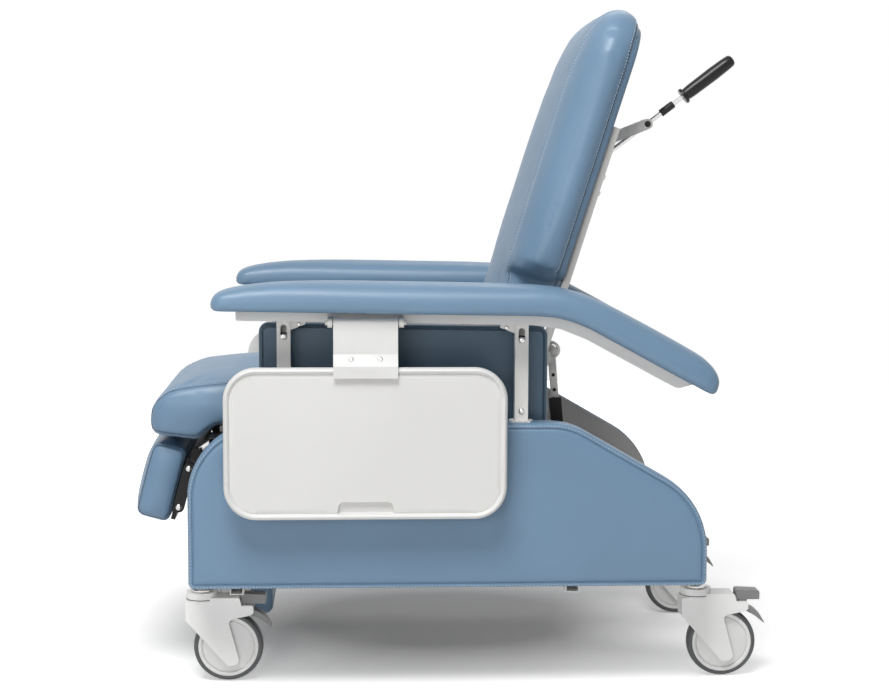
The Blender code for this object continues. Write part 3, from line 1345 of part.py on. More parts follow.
def make_strut(finishes):
    """Telescopic strut from the rear cross tube to the left upright: a square tube with a flat bar in it."""
    foot = Vector(STRUT_FOOT)
    head = Vector(STRUT_HEAD)
    along = (head - foot).normalized()
    add_body("strut_lower", (foot.x, STRUT_Y, foot.y), "base")
    add_body("strut_upper", (head.x, STRUT_Y, head.y), "strut_lower")

    def slab(name, start, end, width, thickness):
        """A straight bar along the strut, between two distances from its foot."""
        side = Vector((along.y, -along.x)) * width / 2
        near = foot + along * start
        far = foot + along * end
        outline = [tuple(point) for point in (near + side, far + side, far - side, near - side)]
        return prism(name, outline, "y", STRUT_Y - thickness / 2, STRUT_Y + thickness / 2)

    def eye(name, centre, radius, half_width, sides):
        """A round bar across the strut at one of its pivots."""
        start = (centre.x, STRUT_Y - half_width, centre.y)
        end = (centre.x, STRUT_Y + half_width, centre.y)
        return rod(name, start, end, radius, sides)

    half = STRUT_EYE_WIDTH / 2
    foot_bore = STRUT_PIN_RADIUS + PIVOT_GAP
    foot_radius = foot_bore + STRUT_EYE_WALL
    head_bore = STRUT_PIN_RADIUS + STRUT_HEAD_PLAY
    head_radius = head_bore + STRUT_EYE_WALL
    length = (head - foot).length

    tube = eye("strut_tube", foot, foot_radius, half, 20)
    join(tube, slab("tube", foot_bore, STRUT_TUBE_LENGTH, STRUT_TUBE, STRUT_TUBE - 2 * BITE))
    cut(tube, eye("pin_bore", foot, foot_bore, 2 * half, 14))
    bore_floor = length - head_radius - STRUT_BAR_REACH - STRUT_STROKE_ROOM
    cut(tube, slab("bar_bore", bore_floor, STRUT_TUBE_LENGTH + OVERRUN,
                   STRUT_BAR_WIDTH + 2 * PIVOT_GAP, STRUT_BAR_THICKNESS + 2 * PIVOT_GAP))
    place(tube, "strut_lower", finishes["black"])

    bar = eye("strut_bar", head, head_radius, half, 24)
    join(bar, slab("bar", length - STRUT_BAR_REACH, length - head_bore - BITE, STRUT_BAR_WIDTH,
                   STRUT_BAR_THICKNESS))
    cut(bar, eye("pin_bore", head, head_bore, 2 * half, 20))
    place(bar, "strut_upper", finishes["frame"])


# Leg rest


def leg_layer(index):
    """Inner y of a layer of flat bars: hanger 0, rear link 1, front link 2, pad bracket 3."""
    return LEG_HANGER_INNER + index * (LEG_BAR_THICKNESS + LEG_LAYER_GAP)


def leg_bore(pivot):
    x, z = pivot
    reach = BOARD_INNER
    return rod("bore", (x, -reach, z), (x, reach, z), LEG_PIN_RADIUS + PIVOT_GAP, 12)


def make_leg_link(name, body, near, far, layer, finishes):
    """Two flat bars, one each side, fixed to the rod of the near pivot and bored at the far one."""
    inner = leg_layer(layer)
    reach = inner + LEG_BAR_THICKNESS / 2
    link = None
    for side in SIDES:
        bar = prism(name, bar_outline(near, far, LEG_BAR_WIDTH / 2), "y",
                    *span(side, inner, inner + LEG_BAR_THICKNESS))
        if link is None:
            link = bar
        else:
            join(link, bar)
    cut(link, leg_bore(far))
    x, z = near
    join(link, rod("rod", (x, -reach, z), (x, reach, z), LEG_PIN_RADIUS, 12))
    place(link, body, finishes["black"])


def make_legrest(finishes):
    hanger_x, hanger_z = LEG_HANGER_PIVOT
    knee_x, knee_z = LEG_KNEE_PIVOT
    pad_x, pad_z = LEG_PAD_PIVOT
    add_body("leg_rear_link", (hanger_x, 0, hanger_z), "base")
    add_body("leg_front_link", (knee_x, 0, knee_z), "leg_rear_link")
    add_body("legrest", (pad_x, 0, pad_z), "leg_front_link")
    make_leg_link("leg_link_rear", "leg_rear_link", LEG_HANGER_PIVOT, LEG_KNEE_PIVOT, 1, finishes)
    make_leg_link("leg_link_front", "leg_front_link", LEG_KNEE_PIVOT, LEG_PAD_PIVOT, 2, finishes)
    make_legrest_board(finishes)
    make_legrest_pad(finishes)


def legrest_axes():
    """Directions down the pad and out of its face, in (x, z)."""
    down = (Vector(LEG_PAD_LOWER_BOLT) - Vector(LEG_PAD_PIVOT)).normalized()
    return down, Vector((down.y, -down.x))


def legrest_point(along, across, out):
    """World point from a distance down the pad, a y and a distance in front of the bracket's bolts."""
    down, face = legrest_axes()
    x, z = Vector(LEG_PAD_PIVOT) + down * along + face * out
    return (x, across, z)


def make_legrest_board(finishes):
    """Backing board of the pad with the flat bracket bar at each side."""
    low = LEG_PAD_REACH[0] + LEG_BOARD_INSETS[0]
    high = LEG_PAD_REACH[1] - LEG_BOARD_INSETS[1]
    front = LEG_BAR_WIDTH / 2 - LEG_BOARD_SET_BACK
    rear = front - LEG_BOARD_THICKNESS
    quarter = LEG_BOARD_THICKNESS / 4

    def side_view(start, end, back, face):
        corners = ((start, back), (end, back), (end, face), (start, face))
        return [legrest_point(along, 0, out)[::2] for along, out in corners]

    board = prism("legrest_board", side_view(low, high, rear, front), "y",
                  -LEG_BOARD_HALF_WIDTH, LEG_BOARD_HALF_WIDTH)
    bar_inner = leg_layer(3)
    bar_y = (bar_inner, bar_inner + LEG_BAR_THICKNESS)
    bar = bar_outline(LEG_PAD_PIVOT, LEG_PAD_LOWER_BOLT, LEG_BAR_WIDTH / 2)
    web = side_view(*LEG_WEB, rear + quarter, front - quarter)
    x, z = LEG_PAD_PIVOT
    for side, sign in SIDES.items():
        join(board, prism("bar", bar, "y", *span(side, *bar_y)))
        join(board, prism("web", web, "y", *span(side, LEG_BOARD_HALF_WIDTH - BITE, bar_inner + BITE)))
        pin_start = sign * (leg_layer(2) - BITE)
        pin_end = sign * (bar_inner + 2 * BITE)
        join(board, rod("pin", (x, pin_start, z), (x, pin_end, z), LEG_PIN_RADIUS, 12))
    place(board, "legrest", finishes["black"])


def make_legrest_pad(finishes):
    """Upright calf pad, crowned in front and rounded at its ends."""
    low, high = LEG_PAD_REACH
    middle = (low + high) / 2
    half_height = (high - low) / 2
    back = LEG_BAR_WIDTH / 2 + SEAT_GAP
    face = back + LEG_PAD_THICKNESS - LEG_PAD_CROWN
    offsets = [LEG_PAD_CORNER * share for share in (0.0, 0.13, 0.5, 1.0)]
    offsets += [LEG_PAD_HALF_WIDTH * share for share in (0.35, 0.7)]
    stations = [-LEG_PAD_HALF_WIDTH + offset for offset in offsets]
    stations += [-station for station in reversed(stations)]
    rings = []
    for across in stations:
        from_end = LEG_PAD_HALF_WIDTH - abs(across)
        loss = edge_loss(from_end, LEG_PAD_CORNER)
        crown = LEG_PAD_CROWN * min(1.0, 0.3 + from_end / LEG_PAD_CROWN_RUN)
        outline = section(half_height - loss * 0.8, back + loss * 0.4, face - loss, LEG_PAD_FACE_RADIUS,
                          LEG_PAD_REAR_RADIUS, crown, LEG_PAD_BULGE)
        rings.append([legrest_point(middle + along, across, out) for along, out in outline])
    place(lofted("legrest_pad", rings), "legrest", finishes["vinyl"])


def main():
    clear_scene()
    finishes = make_materials()
    add_body("base", (0, 0, 0))
    for side in SIDES:
        make_side(side, finishes)
    make_cross_members(finishes)
    make_seat_frame(finishes)
    make_seat_cushion(finishes)
    for side in SIDES:
        make_arm(side, finishes)
        make_tray(side, finishes)
    make_back(finishes)
    make_strut(finishes)
    make_legrest(finishes)
    for end in ENDS:
        for side in SIDES:
            make_caster(end, side, finishes)


main()
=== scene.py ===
"""Looks of the medical recliner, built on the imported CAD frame."""
import json
from math import cos, pi, radians, sin, tan

import bmesh
import bpy
import numpy as np
from mathutils import Matrix, Vector
from mathutils.bvhtree import BVHTree

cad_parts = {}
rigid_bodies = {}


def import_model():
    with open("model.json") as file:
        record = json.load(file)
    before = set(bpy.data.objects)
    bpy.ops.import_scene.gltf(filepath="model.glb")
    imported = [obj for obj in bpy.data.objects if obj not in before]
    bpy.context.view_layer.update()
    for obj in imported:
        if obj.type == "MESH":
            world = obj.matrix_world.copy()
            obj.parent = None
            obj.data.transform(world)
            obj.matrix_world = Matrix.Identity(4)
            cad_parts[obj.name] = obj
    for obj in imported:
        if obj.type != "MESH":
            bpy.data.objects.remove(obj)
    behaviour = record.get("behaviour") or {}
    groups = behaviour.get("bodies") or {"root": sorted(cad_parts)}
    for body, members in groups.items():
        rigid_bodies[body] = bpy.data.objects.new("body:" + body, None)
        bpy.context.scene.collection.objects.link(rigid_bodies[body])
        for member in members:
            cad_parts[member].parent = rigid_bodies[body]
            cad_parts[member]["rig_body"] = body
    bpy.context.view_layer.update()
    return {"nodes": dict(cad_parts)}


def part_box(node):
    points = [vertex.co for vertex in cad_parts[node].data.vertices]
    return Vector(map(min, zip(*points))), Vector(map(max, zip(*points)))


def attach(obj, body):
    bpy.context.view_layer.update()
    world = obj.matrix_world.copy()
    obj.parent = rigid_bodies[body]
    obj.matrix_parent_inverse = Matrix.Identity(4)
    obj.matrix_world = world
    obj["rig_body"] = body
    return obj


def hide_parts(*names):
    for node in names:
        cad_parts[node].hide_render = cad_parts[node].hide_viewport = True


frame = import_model()
scene = bpy.context.scene

SIDES = {"left": -1, "right": 1}
ENDS = ("front", "rear")

# Camera, solved on the photo's edges
IMAGE_WIDTH = 889
FOCAL_PIXELS = 1834.7
SENSOR_WIDTH = 36.0
CAMERA_AT = Vector((-0.1835, -3.55, 0.938))
CAMERA_YAW = radians(2.917)
CAMERA_PITCH = radians(5.718)
CAMERA_ROLL = radians(0.195)

# Sizes shared with the CAD model, in metres
WHEEL_RADIUS = 0.0635
WHEEL_WIDTH = 0.030
AXLE_BORE = 0.0056
CASTER_TRAIL = 0.048
SWIVEL_X = {"front": -0.457, "rear": 0.452}
CASTER_HALF_TRACK = 0.240
FORK_TOP = 0.149
FORK_CAP_RADIUS = 0.028
FORK_CAP_TOP = 0.165
PEDAL_PIVOT = (0.085, 0.137)
PEDAL_PAD_X = (-0.0115, 0.032)
PEDAL_PAD_TOP = 0.025
PEDAL_WIDTH = 0.029
PANEL_FRONT = -0.4725
PANEL_REAR = 0.452
PANEL_BOTTOM = 0.1915
PANEL_TOP = 0.486
PANEL_SLOPE = radians(30.0)
PANEL_KNEE_X = 0.203
PANEL_OUTER = 0.352
PANEL_INNER = 0.3073
PANEL_RIM = 0.012
POCKET_OUTER = 0.342
POST_X = {"front": -0.3025, "rear": 0.117}
POST_Y = 0.3245
POST_SIZE = 0.024
GUIDE_HOLE = 0.0306
SEAT_FRONT = -0.5515
SEAT_REAR = 0.036
SEAT_HALF_WIDTH = 0.245
SEAT_TOP = 0.556
SEAT_BOTTOM = 0.4676
SEAT_ROLL = 0.057
SEAT_CORNER = 0.030
SEAT_LIP_Z = (0.451, 0.440)
SEAT_LIP_DEPTH = 0.0895
SEAT_NOTCH_DEPTH = 0.1215
BACK_PIVOT = Vector((0.140, 0.556))
BACK_LEAN = radians(17.6)
BACK_HEIGHT = 0.684
BACK_FOOT = -0.009
WING_FOOT = 0.172
BACK_HALF_WIDTH = 0.232
NECK_HALF_WIDTH = 0.180
BACK_FRONT = 0.0925
BACK_REAR = -0.0076
BOARD_FRONT = 0.0044
BACK_FACE_RUN = 0.062
BACK_FACE_RADIUS = 0.040
BACK_TOP_CORNER = 0.085
BACK_END_RADIUS = 0.030
HEAD_START = 0.480
HEAD_SET_BACK = 0.016
UPRIGHT_HALF_GAP = 0.200
UPRIGHT_WEB = -0.0104
UPRIGHT_BACK = -0.0209
CLEVIS_U = (0.397, 0.441)
CLEVIS_HALF_WIDTH = 0.022
CLEVIS_BACK = -0.0339
RELEASE_PIVOT = Vector((0.3875, 1.0205))
RELEASE_ANGLE = radians(37.3)
RELEASE_ROD_RADIUS = 0.0045
GRIP_START = 0.087
GRIP_LENGTH = 0.1205
GRIP_RADIUS = 0.0130
STRAP_OUTER = 0.0133
LEG_PIVOT = Vector((-0.4805, 0.387))
LEG_LOWER_BOLT = Vector((-0.4995, 0.316))
LEG_HANGER = (Vector((-0.425, 0.4425)), Vector((-0.468, 0.412)))
LEG_HANGER_OUTER = 0.196
LEG_BAR_OUTER = 0.220
LEG_PAD_REACH = (-0.034, 0.107)
LEG_PAD_OUT = (0.0103, 0.0753)
LEG_PAD_HALF_WIDTH = 0.222
INNER_PANEL_X = (-0.3485, 0.168)
INNER_PANEL_Y = (0.268, 0.2945)
ARM_SLOPE = radians(0.9)
TRAY_CENTRE = (-0.159, 0.458)
TRAY_SIZE = (0.493, 0.266)
TRAY_CORNER = 0.057
TRAY_THICKNESS = 0.020
TRAY_OUTER = 0.4032
TRAY_RECESS = 0.004
TRAY_GRIP_WIDTH = 0.099
TRAY_GRIP_HEIGHT = 0.021
TRAY_GRIP_RISE = 0.010
TRAY_GRIP_DEPTH = 0.011
TRAY_GRIP_TAPER = 0.004
TRAY_GRIP_CORNER = 0.003
BRACKET_CREASE = (0.3935, 0.614)
BRACKET_LIP = (0.4065, 0.594)
STRUT_FOOT = Vector((0.216, 0.262))
STRUT_HEAD = Vector((0.187, 0.600))
STRUT_SIDE_Y = -0.175

# Directions of the back and the leg rest, from the sizes above
BACK_UP = np.array([sin(BACK_LEAN), 0.0, cos(BACK_LEAN)])
BACK_AHEAD = np.array([-cos(BACK_LEAN), 0.0, sin(BACK_LEAN)])
LEG_DOWN = (LEG_LOWER_BOLT - LEG_PIVOT).normalized()
LEG_FACE = Vector((LEG_DOWN.y, -LEG_DOWN.x))

# Meshing
ARC_STEP = radians(6.0)
LEAST_CORNER = 0.0015
SAME_POINT = 1e-6
SMOOTH_ANGLE = 40.0
LOFT_ANGLE = 50.0
THREAD_ANGLE = 60.0
LOOK_ANGLE = 35.0
CUSHION_VOXEL = 0.006
PAD_VOXEL = 0.005

# Widths of softened edges
SHARP_EDGE = 0.0008
PLAIN_EDGE = 0.0010
POST_EDGE = 0.0012
PEDAL_EDGE = 0.0014
BOARD_EDGE = 0.0015
FORK_EDGE = 0.0030

# Swelling
SWELL_FRAMES = 20
CLOTH = {"quality": 4, "mass": 0.25, "use_pressure": True, "uniform_pressure_force": 4.0,
         "tension_stiffness": 25, "compression_stiffness": 25, "bending_stiffness": 2.0}
PUFF_DEPTH = 0.014
PUFF_HEIGHT = 0.008
SEAT_FALL = 0.025
SEAT_FALL_RUN = 0.210
SEAT_FALL_REACH = 0.090
HEAD_CROWN = 0.012
HEAD_ROUND = 0.070
BACK_WRAP = 0.0080
BACK_WRAP_START = 0.040
WING_FRONT_RADIUS = 0.026
WING_REAR_RADIUS = 0.020

# Sewing
SEAM_STEP = 0.004
SEAM_DEPTH = 0.0014
SEAM_WIDTH = 0.0032
WELT_RADIUS = 0.0011
WELT_SINK = 0.0003
STITCH_PITCH = 0.0062
STITCH_LENGTH = 0.0044
STITCH_RADIUS = 0.0008
STITCH_ASIDE = 0.0045
SEAT_SEAM_DROP = 0.005
SEAT_SEAM_IN = 0.008
SEAT_SEAM_FOOT_IN = 0.016
BACK_SEAM_HALF = 0.158
PIPING_INSET = 0.0074
PIPING_DEPTH = 0.0022

# Edges of the lofts: inset from the outline, and depth below the face
INNER_PANEL_EDGE = [(0.0400, 0.0), (0.0120, 0.0004), (0.0090, 0.0006), (0.0080, 0.0022), (0.0068, 0.0022),
                    (0.0058, 0.0006), (0.0036, 0.0010), (0.0014, 0.0030), (0.0002, 0.0070)]
PANEL_WRAP = [(-0.0006, 0.0140), (0.0002, 0.0085), (0.0016, 0.0045), (0.0036, 0.0018), (0.0058, 0.0006)]
PANEL_SEAM = [(0.0074, 0.0009), (0.0083, 0.0028), (0.0096, 0.0029), (0.0107, 0.0010)]
PANEL_FACE = [(0.0130, 0.0), (0.0180, -0.0006), (0.0340, -0.0010)]
TRAY_BEAD = [(-0.0002, 0.0090), (0.0004, 0.0055), (0.0016, 0.0028), (0.0034, 0.0009), (0.0054, 0.0),
             (0.0074, 0.0006), (0.0090, 0.0020)]
TRAY_FIELD = [(0.0102, -0.0003), (0.0110, 0.0007), (0.0120, 0.0007), (0.0130, 0.0), (0.0200, 0.0)]

# Edges of the lofts: inset from the outline, and height above the underside or distance ahead of the pivot
TRAY_UNDERSIDE = [(0.0200, 0.0), (0.0040, 0.0), (0.0012, 0.0010), (0.0, 0.0040)]
BACK_BOARD_EDGE = [(0.0140, 0.0150), (0.0100, 0.0120), (0.0090, 0.0060), (0.0088, 0.0015), (0.0096, -0.0025),
                   (0.0112, -0.0058)]
BACK_BOARD_FACE = [(0.0140, BACK_REAR), (0.0185, BACK_REAR), (0.0196, -0.0062), (0.0206, -0.0062),
                   (0.0217, BACK_REAR), (0.0300, BACK_REAR)]

# Profiles of the wheel: radius, and distance in from the side face
TYRE_SHOULDER = [(0.0548, 0.0016), (0.0572, 0.0008), (0.0598, 0.0014), (0.0618, 0.0034), (0.0629, 0.0064),
                 (0.0634, 0.0105)]
TYRE_SEAT = (0.0530, 0.004)
CORE_FACE = [(AXLE_BORE, 0.0012), (0.0120, 0.0012), (0.0300, 0.0022), (0.0440, 0.0034), (0.0462, 0.0038),
             (0.0468, 0.0056), (0.0478, 0.0056), (0.0485, 0.0024), (0.0500, 0.0014), (0.0530, 0.0012),
             (0.0546, 0.0018), (0.0547, 0.0034)]

# Profiles of turned fittings: radius, and height along the axis
ON_AXIS = 0.0001
BEARING_RACE = [(0.0118, 0.0), (0.0200, 0.0), (0.0208, 0.0008), (0.0208, 0.0034), (0.0190, 0.0046),
                (0.0118, 0.0046)]
PIN_CAP = [(ON_AXIS, 0.0030), (0.0040, 0.0028), (0.0056, 0.0016), (0.0060, 0.0), (0.0060, -0.0006)]
FLUSH_RIVET = [(ON_AXIS, 0.0003), (0.0028, 0.0003), (0.0034, 0.0001), (0.0034, -0.0010)]
BOLT_END = [(ON_AXIS, 0.0040), (0.0026, 0.0038), (0.0044, 0.0026), (0.0048, 0.0006), (0.0048, -0.0006),
            (0.0030, -0.0006)]
BOLT_FOOT = (0.0030, -0.0004)
RIB_END = [(ON_AXIS, 0.0), (0.0012, 0.0003), (0.0016, 0.0012)]

# Screws: the radius of each kind, and the head as shares of its radius and of its height
SCREW_RADIUS = {"tray": 0.0048, "post": 0.0055, "gusset": 0.0040, "latch": 0.0056, "leg": 0.0062}
SCREW_HEIGHT = 0.55
SCREW_HEAD = [(0.30, 0.40), (0.36, 0.98), (0.62, 0.92), (0.90, 0.55), (1.0, 0.12)]
SCREW_SINK = -0.0006

# Release grip: distance past its radius, and place from its start, as a share of its length or before its
# end. The vent has its own radius.
GRIP_COLLAR = [(0.0020, 0.0), (0.0030, 0.0010), (0.0030, 0.0046), (0.0020, 0.0060), (-0.0012, 0.0072),
               (-0.0010, 0.0100), (-0.0002, 0.0200)]
GRIP_SWELL = [(0.0, 0.35), (0.0004, 0.60), (-0.0004, 0.85)]
GRIP_NOSE = [(-0.0012, 0.0060), (-0.0035, 0.0020), (-0.0070, 0.0004)]
GRIP_VENT = [(0.0030, 0.0), (0.0012, 0.0006), (0.0010, 0.0060)]

# Stage
FLOOR_RADIUS = 4.5
FLOOR_DROP = 0.0005
FLOOR_COLOUR = (0.90, 0.893, 0.886)
SHADOW_STRETCH = (0.9, 1.2, 1.0)
SHADOW_SHIFT = (0.0, -0.24, 0.0)
SHADOW_REACH = (0.25, 0.75)
LAMP_REACH = 3.4
SKY_COLOUR = (0.97, 0.985, 1.0, 1.0)
SKY_STRENGTH = 0.13
WHITE = (1.0, 1.0, 1.0, 1.0)
# Each lamp: its place, what it points at, its size and its power in watts
LAMPS = {
    "key_softbox": ((-0.8, -2.2, 3.9), (0.0, -0.1, 0.5), (2.0, 1.5), 146.0),
    "front_softbox": ((-1.4, -4.2, 1.4), (0.0, 0.0, 0.5), (1.6, 1.0), 32.0),
    "back_softbox": ((0.9, 3.0, 3.6), (0.0, 0.0, 0.8), (2.0, 1.4), 17.0),
}


# Materials


def new_material(name, colour, roughness, metallic=0.0):
    made = bpy.data.materials.new(name)
    made.use_nodes = True
    tree = made.node_tree
    shader = tree.nodes["Principled BSDF"]
    shader.inputs["Base Color"].default_value = (*colour, 1.0)
    shader.inputs["Roughness"].default_value = roughness
    shader.inputs["Metallic"].default_value = metallic
    place = tree.nodes.new("ShaderNodeTexCoord")
    return made, tree, shader, place.outputs["Object"]


def add_node(tree, kind, inputs):
    """A node with each input set to a value or linked to a socket."""
    node = tree.nodes.new("ShaderNode" + kind)
    for key, value in inputs.items():
        if isinstance(value, bpy.types.NodeSocket):
            tree.links.new(value, node.inputs[key])
        else:
            node.inputs[key].default_value = value
    return node


def noise(tree, place, scale, detail=3.0):
    return add_node(tree, "TexNoise", {"Vector": place, "Scale": scale, "Detail": detail}).outputs["Fac"]


def spread(tree, value, low, high, start=0.0, end=1.0):
    """A value mapped from one range to another."""
    ranges = {"Value": value, "From Min": start, "From Max": end, "To Min": low, "To Max": high}
    return add_node(tree, "MapRange", ranges).outputs["Result"]


def combine(tree, operation, first, second):
    node = add_node(tree, "Math", {0: first, 1: second})
    node.operation = operation
    return node.outputs["Value"]


def mottle(tree, place, shader, colour, scale, amount):
    """Slow colour variation between a slightly darker and a slightly lighter tone."""
    ramp = add_node(tree, "ValToRGB", {"Fac": noise(tree, place, scale)})
    dark, light = ramp.color_ramp.elements
    dark.position = 0.30
    light.position = 0.70
    dark.color = (*[c * (1 - amount) for c in colour], 1.0)
    light.color = (*[min(c * (1 + amount), 1.0) for c in colour], 1.0)
    tree.links.new(ramp.outputs["Color"], shader.inputs["Base Color"])


def bump(tree, height, shader, strength, distance):
    node = add_node(tree, "Bump", {"Strength": strength, "Distance": distance, "Height": height})
    tree.links.new(node.outputs["Normal"], shader.inputs["Normal"])


def vary_gloss(tree, place, shader, scale, low, high):
    tree.links.new(spread(tree, noise(tree, place, scale), low, high), shader.inputs["Roughness"])


def vinyl(name, colour):
    """Upholstery vinyl: fine leather grain, soft sheen and slow colour drift."""
    made, tree, shader, place = new_material(name, colour, roughness=0.40)
    mottle(tree, place, shader, colour, scale=7.0, amount=0.035)
    cells = add_node(tree, "TexVoronoi", {"Vector": place, "Scale": 620.0})
    cells.feature = "DISTANCE_TO_EDGE"
    grain = spread(tree, cells.outputs["Distance"], low=0.0, high=1.2)
    fine = noise(tree, place, scale=260.0, detail=4.0)
    bump(tree, combine(tree, "ADD", grain, fine), shader, strength=0.14, distance=0.0005)
    vary_gloss(tree, place, shader, scale=40.0, low=0.34, high=0.47)
    return made


def finish(name, colour, roughness, drift, grain, gloss, shine=0.5, metallic=0.0):
    """A hard surface.

    The drift of its colour is (scale, amount), its bump grain (scale, detail, strength, depth), and its
    gloss changes (scale, below, above), where the last two are distances from the roughness.
    """
    made, tree, shader, place = new_material(name, colour, roughness, metallic)
    shader.inputs["Specular IOR Level"].default_value = shine
    mottle(tree, place, shader, colour, *drift)
    grain_scale, detail, strength, depth = grain
    bump(tree, noise(tree, place, grain_scale, detail), shader, strength, depth)
    gloss_scale, below, above = gloss
    vary_gloss(tree, place, shader, gloss_scale, roughness - below, roughness + above)
    return made


def paint(name, colour, roughness, shine=0.5):
    """Powder coat: faint orange peel and small gloss changes."""
    return finish(name, colour, roughness, drift=(11.0, 0.025), grain=(420.0, 2.0, 0.10, 0.0004),
                  gloss=(25.0, 0.05, 0.07), shine=shine)


def moulded(name, colour, roughness, texture=0.10, shine=0.5):
    """Moulded plastic: fine spark texture and faint flow marks."""
    return finish(name, colour, roughness, drift=(5.0, 0.018), grain=(1100.0, 2.0, texture, 0.0003),
                  gloss=(60.0, 0.04, 0.06), shine=shine)


def rubber(name, colour, roughness):
    return finish(name, colour, roughness, drift=(30.0, 0.10), grain=(700.0, 3.0, 0.16, 0.0004),
                  gloss=(80.0, 0.05, 0.06))


def steel(name, colour, roughness):
    """Bright plated steel with a fine uneven gloss."""
    return finish(name, colour, roughness, drift=(45.0, 0.04), grain=(900.0, 1.0, 0.04, 0.0002),
                  gloss=(300.0, 0.06, 0.10), metallic=1.0)


# Each look: the slot that it fills and its material
LOOKS = {
    "vinyl": ("vinyl", vinyl("steel_blue_vinyl", (0.142, 0.240, 0.354))),
    # Back board: the same vinyl written darker, as painted shade on its rear edge band.
    "vinyl_painted_shade_edge": ("vinyl", vinyl("steel_blue_vinyl_painted_shade_edge", (0.105, 0.180, 0.270))),
    # Inner arm panels: the same vinyl written darker, as painted shade under the arms.
    "vinyl_painted_shade_inner": ("vinyl", vinyl("steel_blue_vinyl_painted_shade_inner", (0.044, 0.090, 0.138))),
    # Dark cord laid in the seams: its colour is painted seam shade.
    "painted_shade_cord": ("vinyl", vinyl("seam_painted_shade_cord_vinyl", (0.030, 0.055, 0.088))),
    "thread": ("vinyl", paint("seam_thread", (0.380, 0.490, 0.600), 0.70)),
    "frame": ("frame_paint", paint("warm_grey_paint", (0.740, 0.728, 0.704), 0.40)),
    # Back uprights: the frame paint written darker, as painted shade.
    "upright": ("frame_paint", paint("upright_painted_shade_grey", (0.460, 0.452, 0.436), 0.42)),
    "white": ("off_white_plastic", moulded("off_white_plastic", (0.700, 0.696, 0.682), 0.42)),
    # Caster forks: the white plastic written brighter, as painted light against the panel's shade.
    "caster_painted_light_white": ("off_white_plastic", moulded("caster_painted_light_plastic", (0.870, 0.866, 0.852), 0.40)),
    "white_paint": ("off_white_paint", paint("off_white_paint", (0.700, 0.696, 0.682), 0.42)),
    "core": ("wheel", moulded("wheel_core_plastic", (0.780, 0.777, 0.766), 0.40)),
    "tyre": ("wheel", rubber("grey_tyre", (0.082, 0.085, 0.088), 0.55)),
    "board": ("board", paint("grey_board", (0.420, 0.417, 0.410), 0.60)),
    "black": ("black_steel", paint("black_steel", (0.010, 0.010, 0.011), 0.40, 0.22)),
    "plastic_black": ("black_plastic", moulded("black_plastic", (0.012, 0.012, 0.013), 0.45, 0.08, 0.30)),
    "pedal": ("black_plastic", moulded("grey_pedal_plastic", (0.215, 0.215, 0.215), 0.45)),
    "grip": ("grip", moulded("black_grip", (0.006, 0.006, 0.007), 0.26, 0.03, 0.30)),
    "steel": ("bright_steel", steel("bright_steel", (0.560, 0.560, 0.555), 0.24)),
}


# Outlines and meshes


def rounded(corners):
    """An outline through corners (a, b, radius), each turned into an arc."""
    outline = []
    for index, (a, b, radius) in enumerate(corners):
        here = Vector((a, b))
        behind = (Vector(corners[index - 1][:2]) - here).normalized()
        ahead = (Vector(corners[(index + 1) % len(corners)][:2]) - here).normalized()
        if radius <= 0:
            outline.append(here)
            continue
        half = behind.angle(ahead) / 2
        centre = here + (behind + ahead).normalized() * (radius / sin(half))
        arm = here + behind * (radius / tan(half)) - centre
        turn = 1 if behind.x * ahead.y - behind.y * ahead.x < 0 else -1
        sweep = pi - 2 * half
        parts = max(3, round(sweep / ARC_STEP))
        for part in range(parts + 1):
            outline.append(centre + Matrix.Rotation(turn * sweep * part / parts, 2) @ arm)
    return outline


def moved_in(corners, distance, least=LEAST_CORNER):
    """The same corners with every edge moved inward by a distance."""
    result = []
    for index, (a, b, radius) in enumerate(corners):
        here = Vector((a, b))
        coming = (here - Vector(corners[index - 1][:2])).normalized()
        going = (Vector(corners[(index + 1) % len(corners)][:2]) - here).normalized()
        before = Vector((-coming.y, coming.x))
        after = Vector((-going.y, going.x))
        shift = (before + after) * (distance / (1 + before.dot(after)))
        inward = coming.x * going.y - coming.y * going.x > 0
        changed = radius - distance if inward else radius + distance
        result.append((here.x + shift.x, here.y + shift.y, max(changed, least)))
    return result


def box_corners(low, high, radius):
    (a, b), (c, d) = low, high
    return [(a, b, radius), (c, b, radius), (c, d, radius), (a, d, radius)]


def add_object(name, data):
    item = bpy.data.objects.new(name, data)
    scene.collection.objects.link(item)
    return item


def mesh_from(name, shape):
    """A mesh made from a shape, which is used up."""
    mesh = bpy.data.meshes.new(name)
    shape.to_mesh(mesh)
    shape.free()
    return mesh


def add_piece(name, shape, look, body, angle=SMOOTH_ANGLE):
    bmesh.ops.recalc_face_normals(shape, faces=shape.faces)
    return add_mesh(name, mesh_from(name, shape), look, body, angle)


def add_mesh(name, mesh, look, body, angle):
    slot, material = LOOKS[look]
    piece = add_object(name, mesh)
    mesh.materials.clear()
    mesh.materials.append(material)
    smooth(piece, angle)
    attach(piece, body)
    return piece


def smooth(piece, angle):
    piece.data.shade_smooth()
    piece.data.set_sharp_from_angle(angle=radians(angle))


def bake(piece):
    """Replace a piece's mesh by its evaluated shape."""
    graph = bpy.context.evaluated_depsgraph_get()
    result = bpy.data.meshes.new_from_object(piece.evaluated_get(graph))
    piece.modifiers.clear()
    piece.data = result
    return piece


def loft(shape, rings, close=True):
    loops = [[shape.verts.new(point) for point in ring] for ring in rings]
    for here, there in zip(loops, loops[1:]):
        for k in range(len(here)):
            after = (k + 1) % len(here)
            shape.faces.new((here[k], here[after], there[after], there[k]))
    if close:
        shape.faces.new(list(reversed(loops[0])))
        shape.faces.new(loops[-1])


def layered(corners, steps, place, least=LEAST_CORNER):
    """A closed shape from one outline, moved in by the inset of each step (inset, depth).

    place turns an outline point and a depth into a point of the chair.
    """
    shape = bmesh.new()
    loft(shape, [[place(a, b, depth) for a, b in rounded(moved_in(corners, inset, least))]
                 for inset, depth in steps])
    return shape


def on_side(sign):
    """Places points of a side outline at a distance out from the chair's middle."""
    return lambda x, z, y: (x, sign * y, z)


